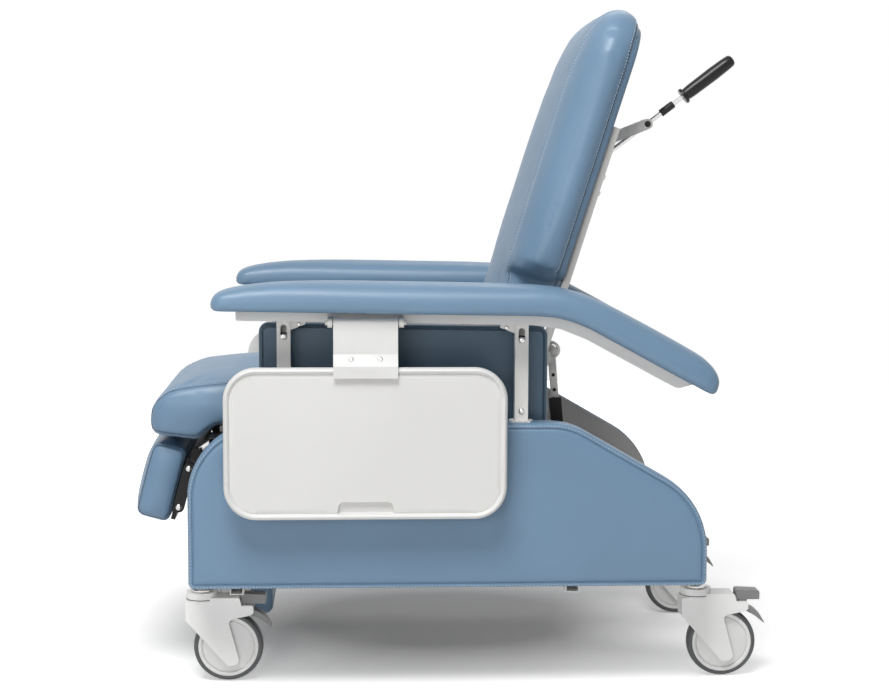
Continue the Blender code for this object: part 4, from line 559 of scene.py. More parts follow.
def spun(profile, centre, axis, sides):
    """Rings of a profile of (radius, height) points, one for each step round an axis."""
    turn = Vector(axis).to_track_quat("Z", "Y").to_matrix().to_4x4()
    place = Matrix.Translation(centre) @ turn
    angles = [2 * pi * k / sides for k in range(sides)]
    return [[place @ Vector((r * cos(angle), r * sin(angle), h)) for r, h in profile] for angle in angles]


def lathe(name, profile, centre, axis, look, body, sides=64):
    """A profile from the axis outward and back, spun into a closed solid."""
    shape = bmesh.new()
    loft(shape, list(zip(*spun(profile, centre, axis, sides))))
    return add_piece(name, shape, look, body)


def ring_lathe(name, profile, centre, axis, look, body, sides=64):
    """A closed profile spun round an axis into a ring."""
    shape = bmesh.new()
    rings = spun(profile, centre, axis, sides)
    loft(shape, rings + rings[:1], close=False)
    bmesh.ops.remove_doubles(shape, verts=shape.verts, dist=SAME_POINT / 10)
    return add_piece(name, shape, look, body)


def tube(name, path, radius, look, body, sides=6):
    """A round cord of mesh along an open path."""
    points = [Vector(point) for point in path]
    last = len(points) - 1
    angles = [2 * pi * j / sides for j in range(sides)]
    rings = []
    for k, here in enumerate(points):
        along = (points[min(k + 1, last)] - points[max(k - 1, 0)]).normalized()
        side = along.orthogonal() if k == 0 else side - along * side.dot(along)
        side.normalize()
        across = along.cross(side)
        rings.append([here + (side * cos(angle) + across * sin(angle)) * radius for angle in angles])
    shape = bmesh.new()
    loft(shape, rings)
    return add_piece(name, shape, look, body, THREAD_ANGLE)


def cut(piece, cutter_shape):
    """Take a closed shape away from a piece."""
    bmesh.ops.recalc_face_normals(cutter_shape, faces=cutter_shape.faces)
    cutter = add_object("cutter", mesh_from("cutter", cutter_shape))
    change = piece.modifiers.new("cut", "BOOLEAN")
    change.operation = "DIFFERENCE"
    change.solver = "EXACT"
    change.object = cutter
    bake(piece)
    bpy.data.objects.remove(cutter, do_unlink=True)


def clean_copy(node):
    shape = bmesh.new()
    shape.from_mesh(frame["nodes"][node].data)
    bmesh.ops.remove_doubles(shape, verts=shape.verts, dist=SAME_POINT)
    return shape


def refined(node, look, width, segments=2):
    """A hard CAD node copied with softened edges; the copy is shown in its place."""
    shape = clean_copy(node)
    bmesh.ops.dissolve_limit(shape, angle_limit=radians(1.0), verts=shape.verts, edges=shape.edges)
    name = node + "_look"
    piece = add_mesh(name, mesh_from(name, shape), look, frame["nodes"][node]["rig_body"], LOOK_ANGLE)
    soften = piece.modifiers.new("soften", "BEVEL")
    soften.width = width
    soften.segments = segments
    soften.limit_method = "ANGLE"
    soften.angle_limit = radians(32)
    soften.use_clamp_overlap = True
    soften.harden_normals = True
    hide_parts(node)


def paint_node(node, look):
    """Give a CAD node that stays a finished material."""
    materials = frame["nodes"][node].data.materials
    materials.clear()
    materials.append(LOOKS[look][1])


# Soft pieces


def vectors(items, key):
    flat = np.empty(len(items) * 3, np.float32)
    items.foreach_get(key, flat)
    return flat.reshape(-1, 3).astype(float)


def coordinates(piece):
    return vectors(piece.data.vertices, "co")


def vertex_normals(piece):
    return vectors(piece.data.vertex_normals, "vector")


def put_points(piece, points):
    piece.data.vertices.foreach_set("co", points.astype(np.float32).ravel())
    piece.data.update()


def relax(piece, times):
    ease = piece.modifiers.new("relax", "SMOOTH")
    ease.iterations = times
    return bake(piece)


def soft_copy(node, name, voxel):
    """A CAD cushion copied and remeshed into even faces, ready to simulate."""
    mesh = mesh_from(name, clean_copy(node))
    piece = add_mesh(name, mesh, "vinyl", frame["nodes"][node]["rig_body"], 180.0)
    even = piece.modifiers.new("even", "REMESH")
    even.mode = "VOXEL"
    even.voxel_size = voxel
    bake(piece)
    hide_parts(node)
    return relax(piece, 4)


def inflate(piece, pinned, start_in, gain, limit):
    """Draw a cushion in a little, then swell it by cloth pressure between its pinned seams.

    The gain makes the swelling stronger, and no point moves further than the limit.
    """
    rest = coordinates(piece)
    rest -= vertex_normals(piece) * start_in
    put_points(piece, rest)
    held = [int(k) for k in np.nonzero(pinned(rest))[0]]
    group = piece.vertex_groups.new(name="held")
    group.add(held, 1.0, "REPLACE")
    cloth = piece.modifiers.new("swell", "CLOTH")
    for key, value in CLOTH.items():
        setattr(cloth.settings, key, value)
    cloth.settings.effector_weights.gravity = 0.0
    cloth.settings.vertex_group_mass = group.name
    cloth.collision_settings.use_collision = False
    cloth.point_cache.frame_start = 1
    cloth.point_cache.frame_end = SWELL_FRAMES
    for number in range(1, SWELL_FRAMES + 1):
        scene.frame_set(number)
    graph = bpy.context.evaluated_depsgraph_get()
    swollen = coordinates(piece.evaluated_get(graph))
    piece.modifiers.clear()
    piece.vertex_groups.clear()
    scene.frame_set(1)
    move = (swollen - rest) * gain
    size = np.linalg.norm(move, axis=1, keepdims=True)
    move *= np.minimum(1.0, limit / np.maximum(size, 1e-9))
    put_points(piece, rest + move)


def puff(piece, half_width, fractions):
    """Bulge the flat end faces of a cushion.

    fractions gives each point's two places across the face, from 0 to 1.
    """
    points = coordinates(piece)
    first, second = (np.clip(share, 0.0, 1.0) for share in fractions(points))
    across = np.abs(points[:, 1])
    on_end = np.clip((across - half_width + PUFF_DEPTH) / PUFF_DEPTH, 0.0, 1.0)
    weight = (1 - (2 * first - 1) ** 4) * (1 - (2 * second - 1) ** 2)
    points[:, 1] += np.sign(points[:, 1]) * PUFF_HEIGHT * on_end * weight
    put_points(piece, points)


def finer(piece):
    ease = piece.modifiers.new("finer", "SUBSURF")
    ease.levels = 1
    ease.render_levels = 1
    return bake(piece)


def dense(path, step):
    """A path resampled at an even step."""
    points = np.array([tuple(point) for point in path], float)
    lengths = np.concatenate([[0.0], np.cumsum(np.linalg.norm(np.diff(points, axis=0), axis=1))])
    count = max(2, int(lengths[-1] / step))
    where = np.linspace(0, lengths[-1], count)
    return np.stack([np.interp(where, lengths, points[:, k]) for k in range(3)], axis=1)


def groove(piece, line, depth, width):
    """Draw a piece in along a seam line."""
    points = coordinates(piece)
    line = dense(line, width * 0.4)
    reach = 4 * width
    batch = 400
    near = np.full(len(points), np.inf)
    for start in range(0, len(line), batch):
        part = line[start:start + batch]
        close = (points > part.min(0) - reach) & (points < part.max(0) + reach)
        inside = np.nonzero(np.all(close, axis=1))[0]
        if len(inside):
            gap = np.linalg.norm(points[inside][:, None, :] - part[None, :, :], axis=2).min(1)
            near[inside] = np.minimum(near[inside], gap)
    push = depth * np.exp(-(near / width) ** 2)
    put_points(piece, points - vertex_normals(piece) * push[:, None])


def on_surface(piece, path, step):
    """Points of a path moved to the nearest surface, each with the surface's outward direction."""
    tree = BVHTree.FromObject(piece, bpy.context.evaluated_depsgraph_get())
    return [tree.find_nearest(Vector(point))[:2] for point in dense(path, step)]


def beside(spots, offset):
    """The path of surface spots shifted sideways along the surface."""
    shifted = []
    last = len(spots) - 1
    for k, (here, up) in enumerate(spots):
        along = (spots[min(k + 1, last)][0] - spots[max(k - 1, 0)][0]).normalized()
        shifted.append(here + along.cross(up).normalized() * offset)
    return shifted


def stitch_row(name, piece, path, body):
    """A row of thread stitches lying on a piece along a path."""
    spots = on_surface(piece, path, STITCH_PITCH)
    radius = STITCH_RADIUS
    angles = [pi * j / 3 for j in range(6)]
    tapered = ((-0.5, 0.35), (-0.3, 1.0), (0.3, 1.0), (0.5, 0.35))
    shape = bmesh.new()
    for (here, up), (there, _) in zip(spots, spots[1:]):
        along = (there - here).normalized()
        middle = (here + there) / 2 + up * radius * 0.4
        side = along.cross(up).normalized()
        rings = []
        for shift, size in tapered:
            centre = middle + along * (STITCH_LENGTH * shift) - up * (radius * (1 - size))
            rings.append([centre + (side * cos(angle) + up * sin(angle)) * radius * size for angle in angles])
        loft(shape, rings)
    add_piece(name, shape, "thread", body, THREAD_ANGLE)


def seam(name, piece, path, body, rows=(), depth=SEAM_DEPTH, width=SEAM_WIDTH):
    """A drawn-in seam with a dark cord in it, whose colour is painted seam shade, and rows of stitches at
    given distances to its right.
    """
    groove(piece, [spot[0] for spot in on_surface(piece, path, SEAM_STEP)], depth, width)
    spots = on_surface(piece, path, SEAM_STEP)
    # The cord is dark as painted shade in the seam's groove.
    tube(name + "_welt", [here - up * WELT_SINK for here, up in spots], WELT_RADIUS, "painted_shade_cord", body)
    for number, offset in enumerate(rows):
        stitch_row("%s_stitch_%d" % (name, number + 1), piece, beside(spots, offset), body)


# Seat


def seat_fall(x, z):
    """How far the top of the seat falls away toward its front at a place."""
    near_front = np.clip(1 - (x - SEAT_FRONT) / SEAT_FALL_RUN, 0.0, 1.0)
    near_top = np.clip(1 - (SEAT_TOP - z) / SEAT_FALL_REACH, 0.0, 1.0)
    return SEAT_FALL * near_front ** 2 * near_top


def seat_top_seam(sign):
    """Side edge of the seat's top panel: along the top, round the front roll and down the front."""
    top_y = sign * (SEAT_HALF_WIDTH - SEAT_SEAM_IN)
    foot_y = sign * (SEAT_HALF_WIDTH - SEAT_SEAM_FOOT_IN)
    top_z = SEAT_TOP - SEAT_SEAM_DROP
    rear_gap = 0.02
    front_gap = 0.003
    foot_rise = 0.008
    arc_parts = 12
    path = [(SEAT_REAR - rear_gap, top_y, top_z)]
    for part in range(arc_parts + 1):
        share = part / arc_parts
        angle = pi / 2 * (1 + share)
        path.append((SEAT_FRONT + SEAT_ROLL + SEAT_ROLL * cos(angle), top_y + (foot_y - top_y) * share,
                     top_z - SEAT_ROLL + SEAT_ROLL * sin(angle)))
    path.append((SEAT_FRONT + front_gap, foot_y, SEAT_LIP_Z[0] + foot_rise))
    return [(x, y, z - seat_fall(x, z)) for x, y, z in dense(path, SEAM_STEP)]


def seat_hem():
    """Line just above the seat's lower edge: along one side, across the front and back along the other."""
    half = SEAT_HALF_WIDTH - 0.001
    rear = SEAT_REAR - 0.03
    rise = 0.007
    plan = rounded([(rear, -half, 0.0), (SEAT_FRONT, -half, SEAT_CORNER), (SEAT_FRONT, half, SEAT_CORNER),
                    (rear, half, 0.0)])
    path = dense([(x, y, 0.0) for x, y in plan], SEAM_STEP)
    underside = (*SEAT_LIP_Z, SEAT_BOTTOM)
    path[:, 2] = np.interp(path[:, 0] - SEAT_FRONT, (0.0, SEAT_LIP_DEPTH, SEAT_NOTCH_DEPTH), underside) + rise
    return path


def make_seat():
    seat = soft_copy("seat_cushion", "seat_cushion_vinyl", CUSHION_VOXEL)
    points = coordinates(seat)
    points[:, 2] -= seat_fall(points[:, 0], points[:, 2])
    put_points(seat, points)
    edge_in = 0.010
    edge_band = 0.006

    def held(points):
        low = points[:, 2] < SEAT_BOTTOM + 0.004
        back = points[:, 0] > SEAT_REAR - 0.008
        edge = np.abs(np.abs(points[:, 1]) - (SEAT_HALF_WIDTH - edge_in)) < edge_band
        top = (points[:, 2] > SEAT_TOP - 0.030) | (points[:, 0] < SEAT_FRONT + 0.014)
        return low | back | (edge & top)

    def side_shares(points):
        along = (points[:, 0] - SEAT_FRONT) / (SEAT_REAR - SEAT_FRONT)
        return along, (points[:, 2] - SEAT_LIP_Z[1]) / (SEAT_TOP - SEAT_SEAM_IN - SEAT_LIP_Z[1])

    puff(seat, SEAT_HALF_WIDTH, side_shares)
    inflate(seat, held, start_in=0.002, gain=2.2, limit=0.012)
    relax(seat, 3)
    finer(seat)
    for side, sign in SIDES.items():
        seam("seat_seam_" + side, seat, seat_top_seam(sign), "base", (-sign * STITCH_ASIDE,), 0.0016, 0.0036)
    seam("seat_hem", seat, seat_hem(), "base")


# Back


def back_point(up, across, ahead):
    x, z = BACK_PIVOT + Vector((sin(BACK_LEAN), cos(BACK_LEAN))) * up \
        + Vector((-cos(BACK_LEAN), sin(BACK_LEAN))) * ahead
    return Vector((x, across, z))


def back_local(points):
    """Heights up the back and distances ahead of its pivot."""
    rel_x = points[:, 0] - BACK_PIVOT.x
    rel_z = points[:, 2] - BACK_PIVOT.y
    up = rel_x * sin(BACK_LEAN) + rel_z * cos(BACK_LEAN)
    ahead = -rel_x * cos(BACK_LEAN) + rel_z * sin(BACK_LEAN)
    return up, ahead


def back_front(up):
    head = max((up - HEAD_START) / (BACK_HEIGHT - HEAD_START), 0.0)
    return BACK_FRONT - HEAD_SET_BACK * head ** 2


def round_wing_foot(piece):
    """Round the lower front and rear corners of the wings, as seen from the side."""
    points = coordinates(piece)
    up, ahead = back_local(points)
    across = np.abs(points[:, 1])
    out = np.clip((across - (BACK_HALF_WIDTH - BACK_FACE_RUN)) / BACK_FACE_RUN, 0.0, 1.0)
    front = BACK_FRONT - BACK_FACE_RADIUS * (1 - np.sqrt(1 - out ** 2))
    rear = np.full(len(points), BOARD_FRONT)
    wing = np.clip((across - NECK_HALF_WIDTH + 0.012) / 0.020, 0.0, 1.0)
    for radius, corner, sign in ((WING_FRONT_RADIUS, front, 1), (WING_REAR_RADIUS, rear, -1)):
        rise = WING_FOOT + radius - up
        reach = sign * (ahead - corner) + radius
        gap = np.hypot(rise, reach)
        outside = (rise > 0) & (reach > 0) & (gap > radius) & (up > WING_FOOT - 0.010)
        pull = np.where(outside, wing * (1 - radius / np.maximum(gap, SAME_POINT)), 0.0)
        points += (pull * rise)[:, None] * BACK_UP - (pull * reach * sign)[:, None] * BACK_AHEAD
    put_points(piece, points)


def wrap_rear(piece):
    """Draw the rear edge of the cushion back round the edge of the board."""
    points = coordinates(piece)
    ahead = back_local(points)[1]
    behind = np.maximum(BACK_WRAP_START - ahead, 0.0)
    pull = behind * BACK_WRAP / (BACK_WRAP_START - BOARD_FRONT)
    points -= pull[:, None] * BACK_AHEAD
    put_points(piece, points)


def round_head(piece):
    """Dome the top of the back and let its front edge roll back further."""
    points = coordinates(piece)
    up, ahead = back_local(points)
    near_top = np.clip((up - BACK_HEIGHT + HEAD_ROUND) / HEAD_ROUND, 0.0, 1.0) ** 2
    middle = np.sqrt(np.clip(1 - (points[:, 1] / BACK_HALF_WIDTH) ** 2, 0.0, 1.0))
    deep = np.clip(ahead / BACK_FRONT, 0.0, 1.0)
    dome = 1 - (2 * deep - 1) ** 2
    rise = HEAD_CROWN * near_top * middle * dome
    set_back = HEAD_CROWN * near_top * deep
    points += rise[:, None] * BACK_UP
    points -= set_back[:, None] * BACK_AHEAD
    put_points(piece, points)


def back_front_seam(sign):
    """Straight seam between the front panel and a wing: up from the foot and over the head."""
    y = sign * BACK_SEAM_HALF
    neck_front = BACK_FRONT - 0.009
    proud = 0.003
    path = [back_point(up, y, neck_front) for up in (BACK_FOOT + 0.02, WING_FOOT - 0.03)]
    body_top = BACK_HEIGHT - BACK_END_RADIUS
    for up in np.linspace(WING_FOOT + 0.02, body_top, 16):
        path.append(back_point(up, y, back_front(up) + proud))
    turn_front = back_front(BACK_HEIGHT) - BACK_END_RADIUS
    arc_parts = 6
    for part in range(1, arc_parts + 1):
        angle = pi / 2 * part / arc_parts
        up = body_top + BACK_END_RADIUS * sin(angle)
        path.append(back_point(up, y, turn_front + BACK_END_RADIUS * cos(angle)))
    path.append(back_point(BACK_HEIGHT, y, turn_front / 2))
    return path


def back_rear_seam():
    """Seam round the rear edge of the wings and the head."""
    inset = 0.004
    half = BACK_HALF_WIDTH - inset
    foot = WING_FOOT + 0.020
    top = BACK_HEIGHT - inset
    corner = BACK_TOP_CORNER - inset
    rear = BOARD_FRONT - 0.001
    outline = rounded([(half, foot, 0.0), (half, top, corner), (-half, top, corner), (-half, foot, 0.0)])
    return [back_point(up, across, rear) for across, up in outline]


def make_back():
    back = soft_copy("back_cushion", "back_cushion_vinyl", CUSHION_VOXEL)
    round_wing_foot(back)
    wrap_rear(back)
    relax(back, 3)

    def held(points):
        up, ahead = back_local(points)
        across = np.abs(points[:, 1])
        rear = ahead < BOARD_FRONT + 0.010
        foot = up < BACK_FOOT + 0.012
        stitched = (np.abs(across - BACK_SEAM_HALF) < 0.005) & (ahead > BACK_FRONT - 0.030)
        shoulder = (np.abs(up - WING_FOOT) < 0.010) & (across > NECK_HALF_WIDTH - 0.006)
        return rear | foot | stitched | shoulder

    def wing_shares(points):
        up, ahead = back_local(points)
        along = (up - WING_FOOT) / (BACK_HEIGHT - WING_FOOT)
        return along, (ahead - BOARD_FRONT) / (BACK_FRONT - BACK_FACE_RADIUS / 2 - BOARD_FRONT)

    puff(back, BACK_HALF_WIDTH, wing_shares)
    round_head(back)
    inflate(back, held, start_in=0.001, gain=2.6, limit=0.014)
    finer(back)
    for side, sign in SIDES.items():
        seam("back_seam_" + side, back, back_front_seam(sign), "back", (-sign * STITCH_ASIDE,))
    seam("back_rear_seam", back, back_rear_seam(), "back", (STITCH_ASIDE,))


def make_back_board():
    """Vinyl-wrapped rear panel with a rounded edge and a drawn-in seam round its face, in vinyl written
    darker as painted shade.
    """
    neck = NECK_HALF_WIDTH
    full = BACK_HALF_WIDTH
    shoulder = WING_FOOT
    top = BACK_HEIGHT - 0.006
    foot_corner = 0.024
    inside_corner = 0.004
    wing_corner = 0.030
    corners = [(-neck, BACK_FOOT, foot_corner), (neck, BACK_FOOT, foot_corner),
               (neck, shoulder, inside_corner), (full, shoulder, wing_corner), (full, top, BACK_TOP_CORNER),
               (-full, top, BACK_TOP_CORNER), (-full, shoulder, wing_corner),
               (-neck, shoulder, inside_corner)]
    shape = layered(corners, BACK_BOARD_EDGE + BACK_BOARD_FACE,
                    lambda across, up, ahead: back_point(up, across, ahead))
    board = add_piece("back_board_vinyl", shape, "vinyl_painted_shade_edge", "back", LOFT_ANGLE)
    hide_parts("back_board")


# Leg rest


def leg_point(along, across, out):
    x, z = LEG_PIVOT + LEG_DOWN * along + LEG_FACE * out
    return Vector((x, across, z))


def leg_local(points):
    """Distances down the leg rest from its pivot and out from its face."""
    rel_x = points[:, 0] - LEG_PIVOT.x
    rel_z = points[:, 2] - LEG_PIVOT.y
    return rel_x * LEG_DOWN.x + rel_z * LEG_DOWN.y, rel_x * LEG_FACE.x + rel_z * LEG_FACE.y


def make_leg_pad():
    pad = soft_copy("legrest_pad", "legrest_pad_vinyl", PAD_VOXEL)
    back, front = LEG_PAD_OUT
    low, high = LEG_PAD_REACH
    end_inset = 0.003
    edge_inset = 0.004
    corner = 0.014

    def held(points):
        out = leg_local(points)[1]
        edge = np.abs(np.abs(points[:, 1]) - (LEG_PAD_HALF_WIDTH - end_inset - 0.002)) < 0.004
        return (out < back + 0.008) | edge

    def end_shares(points):
        along, out = leg_local(points)
        return (along - low) / (high - low), (out - back) / (front - back)

    puff(pad, LEG_PAD_HALF_WIDTH, end_shares)
    inflate(pad, held, start_in=0.001, gain=2.0, limit=0.008)
    finer(pad)
    outline = rounded(box_corners((low + edge_inset, back + edge_inset), (high - edge_inset, front), corner))
    for side, sign in SIDES.items():
        y = sign * (LEG_PAD_HALF_WIDTH - end_inset)
        loop = [leg_point(along, y, out) for along, out in outline + outline[:1]]
        seam("legrest_seam_" + side, pad, loop, "legrest", width=0.0030)


# Arms


def make_arm_pad(side):
    pad = soft_copy("arm_pad_" + side, "arm_pad_vinyl_" + side, PAD_VOXEL)
    inflate(pad, lambda points: vertex_normals(pad)[:, 2] < -0.5, start_in=0.0, gain=1.0, limit=0.003)
    finer(pad)


def make_inner_panel(side):
    """Upholstered board between the arm posts and the seat, with a seam round both faces. Its vinyl is
    written darker than the rest: painted shade.
    """
    body = "arm_" + side
    sign = SIDES[side]
    low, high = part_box("arm_inner_panel_" + side)
    front_x, rear_x = INNER_PANEL_X
    rear_top = high.z - (rear_x - front_x) * tan(ARM_SLOPE)
    radius = 0.018
    corners = [(front_x, low.z, radius), (rear_x, low.z, radius), (rear_x, rear_top, radius),
               (front_x, high.z, radius)]
    inner, outer = INNER_PANEL_Y
    steps = [(inset, inner + depth) for inset, depth in INNER_PANEL_EDGE]
    steps += [(inset, outer - depth) for inset, depth in reversed(INNER_PANEL_EDGE)]
    shape = layered(corners, steps, on_side(sign))
    # The panel takes the darker copy of the vinyl: painted shade from the arm above.
    panel = add_piece("arm_inner_panel_vinyl_" + side, shape, "vinyl_painted_shade_inner", body, LOFT_ANGLE)
    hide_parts("arm_inner_panel_" + side)
    # Piping cords round both faces, dark as painted seam shade.
    for label, y in (("inner", inner + PIPING_DEPTH), ("outer", outer - PIPING_DEPTH)):
        path = [(x, sign * y, z) for x, z in rounded(moved_in(corners, PIPING_INSET))]
        tube("arm_inner_panel_welt_%s_%s" % (label, side), path + path[:1], WELT_RADIUS, "painted_shade_cord", body)


# Side panels


def panel_corners():
    slope_foot_z = PANEL_TOP - (PANEL_REAR - PANEL_KNEE_X) * tan(PANEL_SLOPE)
    foot_corner = 0.012
    return [(PANEL_FRONT, PANEL_BOTTOM, foot_corner), (PANEL_REAR, PANEL_BOTTOM, foot_corner),
            (PANEL_REAR, slope_foot_z, 0.150), (PANEL_KNEE_X, PANEL_TOP, 0.120),
            (PANEL_FRONT, PANEL_TOP, 0.130)]


def make_side_panel(side):
    """Upholstered side shell: wrapped rim, drawn-in seam and lightly padded face, with a pocket inside."""
    sign = SIDES[side]
    corners = panel_corners()
    inner = PANEL_INNER
    ease = 0.001
    steps = [(PANEL_RIM, POCKET_OUTER), (PANEL_RIM, inner + ease), (PANEL_RIM - ease, inner), (ease, inner),
             (0.0, inner + ease), (PANEL_WRAP[0][0], inner + 0.015)]
    steps += [(inset, PANEL_OUTER - depth) for inset, depth in PANEL_WRAP + PANEL_SEAM + PANEL_FACE]
    shape = layered(corners, steps, on_side(sign))
    panel = add_piece("side_panel_vinyl_" + side, shape, "vinyl", "base", LOFT_ANGLE)
    for x in POST_X.values():
        hole = bmesh.new()
        bmesh.ops.create_cube(hole, size=1.0)
        bmesh.ops.scale(hole, vec=(GUIDE_HOLE, GUIDE_HOLE, 5 * PANEL_RIM), verts=hole.verts)
        bmesh.ops.translate(hole, vec=(x, sign * POST_Y, PANEL_TOP), verts=hole.verts)
        cut(panel, hole)
    smooth(panel, LOFT_ANGLE)
    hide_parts("side_panel_" + side)
    stitch_inset = 0.0045
    stitch_y = sign * (PANEL_OUTER - 0.0015)
    path = [(x, stitch_y, z) for x, z in rounded(moved_in(corners, stitch_inset))]
    stitch_row("side_panel_stitch_" + side, panel, path + path[:1], "base")


def make_apron():
    apron = soft_copy("front_apron", "front_apron_vinyl", PAD_VOXEL)
    finer(apron)


# Trays


def finger_recess(sign):
    """Cutter for the pocket in the tray's free edge, with sloping walls."""
    x, z = TRAY_CENTRE
    low_z = z - TRAY_SIZE[1] / 2 + TRAY_GRIP_RISE
    high_z = low_z + TRAY_GRIP_HEIGHT
    low_half = TRAY_GRIP_WIDTH / 2
    high_half = low_half - TRAY_GRIP_TAPER
    corner = TRAY_GRIP_CORNER
    corners = [(x - low_half, low_z, corner), (x + low_half, low_z, corner),
               (x + high_half, high_z, 3 * corner), (x - high_half, high_z, 3 * corner)]
    floor_y = TRAY_OUTER - TRAY_GRIP_DEPTH
    widen = -0.0006
    steps = [(widen, TRAY_OUTER + 0.010), (widen, TRAY_OUTER - TRAY_RECESS - 0.0004),
             (0.0016, floor_y + 0.001), (0.0026, floor_y)]
    return layered(corners, steps, on_side(sign))


def make_tray(side):
    """Moulded tray with a round bead along its rim and a finger recess in its free edge."""
    sign = SIDES[side]
    steps = [(inset, TRAY_OUTER + (rise - TRAY_THICKNESS)) for inset, rise in TRAY_UNDERSIDE]
    steps += [(inset, TRAY_OUTER - depth) for inset, depth in TRAY_BEAD]
    steps += [(inset, TRAY_OUTER + (-TRAY_RECESS - depth)) for inset, depth in TRAY_FIELD]
    x, z = TRAY_CENTRE
    half_x = TRAY_SIZE[0] / 2
    half_z = TRAY_SIZE[1] / 2
    outline = box_corners((x - half_x, z - half_z), (x + half_x, z + half_z), TRAY_CORNER)
    shape = layered(outline, steps, on_side(sign))
    tray = add_piece("tray_moulded_" + side, shape, "white", "tray_" + side, LOFT_ANGLE)
    cut(tray, finger_recess(sign))
    smooth(tray, LOOK_ANGLE)
    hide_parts("tray_top_" + side)


# Casters


def make_wheel(tag, hub):
    """Grey tyre round a pale moulded core with a ring step in each face."""
    half = WHEEL_WIDTH / 2
    body = "caster_spin_" + tag
    axis = (0, 1, 0)

    def both_faces(side):
        near = [(radius, half - inset) for radius, inset in side]
        return near + [(radius, -height) for radius, height in reversed(near)]

    seat_radius, seat_in = TYRE_SEAT
    seat = [(seat_radius, -half + seat_in), (seat_radius, half - seat_in)]
    tyre = ring_lathe("caster_tyre_" + tag, both_faces(TYRE_SHOULDER) + seat, hub, axis, "tyre", body, 96)
    core = ring_lathe("caster_core_" + tag, both_faces(CORE_FACE), hub, axis, "core", body, 96)
    for piece in (core, tyre):
        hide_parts("caster_wheel_" + tag)


def make_pedal_ribs(tag, x, y):
    """Rounded grip ribs across the top of the brake pedal's pad."""
    front, rear = PEDAL_PAD_X
    half = PEDAL_WIDTH / 2 - 0.003
    top = PEDAL_PIVOT[1] + PEDAL_PAD_TOP - 0.0010
    pad_fall = 0.002
    first, pitch = 0.30, 0.18
    profile = RIB_END + [(radius, 2 * half - height) for radius, height in reversed(RIB_END)]
    for number in range(3):
        along = front + (rear - front) * (first + pitch * number)
        fall = pad_fall * (along - front) / (rear - front)
        at = (x + PEDAL_PIVOT[0] + along, y - half, top - fall)
        lathe("caster_pedal_rib_%s_%d" % (tag, number + 1), profile, at, (0, 1, 0), "pedal",
              "caster_brake_" + tag, 12)


def make_caster(end, side):
    tag = end + "_" + side
    x = SWIVEL_X[end]
    y = SIDES[side] * CASTER_HALF_TRACK
    make_wheel(tag, (x + CASTER_TRAIL, y, WHEEL_RADIUS))
    # The forks take the brightened copy of the white plastic: painted light.
    refined("caster_fork_" + tag, "caster_painted_light_white", FORK_EDGE, 3)
    refined("caster_pedal_" + tag, "pedal", PEDAL_EDGE)
    make_pedal_ribs(tag, x, y)
    inside = FORK_CAP_RADIUS - 0.002
    edge = FORK_CAP_RADIUS + 0.0004
    seal = [(inside, 0.0), (edge, 0.0), (FORK_CAP_RADIUS + 0.0006, 0.0006), (edge, 0.0012), (inside, 0.0012)]
    seal_z = FORK_TOP + 0.0026
    race_z = FORK_CAP_TOP + 0.0004
    axis = (0, 0, 1)
    ring_lathe("caster_seal_" + tag, seal, (x, y, seal_z), axis, "plastic_black", "caster_swivel_" + tag)
    ring_lathe("caster_race_" + tag, BEARING_RACE, (x, y, race_z), axis, "steel", "base", 48)


# Fasteners and small fittings


def screw(kind, name, at, normal, body):
    """Pan-head screw with a shallow round recess in its head."""
    radius = SCREW_RADIUS[kind]
    height = radius * SCREW_HEIGHT
    profile = [(ON_AXIS, height * SCREW_HEAD[0][1])]
    profile += [(radius * out, height * up) for out, up in SCREW_HEAD]
    profile.append((radius, SCREW_SINK))
    lathe(name, profile, at, normal, "steel", body, 20)


def make_tray_screws(side, sign):
    """Two screws on the sloped set-out of the tray's bracket."""
    crease_y, crease_z = BRACKET_CREASE
    lip_y, lip_z = BRACKET_LIP
    share = 0.38
    half_spacing = 0.0252
    y = sign * (crease_y + (lip_y - crease_y) * share)
    z = crease_z + (lip_z - crease_z) * share
    normal = (0, sign * (crease_z - lip_z), lip_y - crease_y)
    for number, shift in enumerate((-half_spacing, half_spacing)):
        name = "tray_bracket_screw_%d_%s" % (number + 1, side)
        screw("tray", name, (TRAY_CENTRE[0] + shift, y, z), normal, "tray_" + side)


def make_arm_screws(side, sign):
    """Gusset bolts, post screws and the bright heads of the latch bolts."""
    arm = "arm_" + side
    out = (0, sign, 0)
    face = sign * (POST_Y + POST_SIZE / 2)
    gusset_face = sign * (POST_Y + POST_SIZE / 2 - 0.003)
    gusset_shift = 0.0272
    gusset_drop = 0.0055
    post_screw_z = 0.507
    latch_head_drop = 0.006
    for end in ENDS:
        tag = end + "_" + side
        away = 1 if end == "front" else -1
        x = POST_X[end]
        gusset_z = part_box("arm_post_" + tag)[1].z - gusset_drop
        screw("post", "post_screw_" + tag, (x, face, post_screw_z), out, arm)
        gusset_x = x + away * gusset_shift
        screw("gusset", "gusset_bolt_" + tag, (gusset_x, gusset_face, gusset_z), out, arm)
        latch_low, latch_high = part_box("arm_latch_" + tag)
        head_y = latch_low.y if sign < 0 else latch_high.y
        head = (x, head_y, latch_high.z - latch_head_drop)
        screw("latch", "arm_latch_head_" + tag, head, out, "arm_latch_body_" + tag)


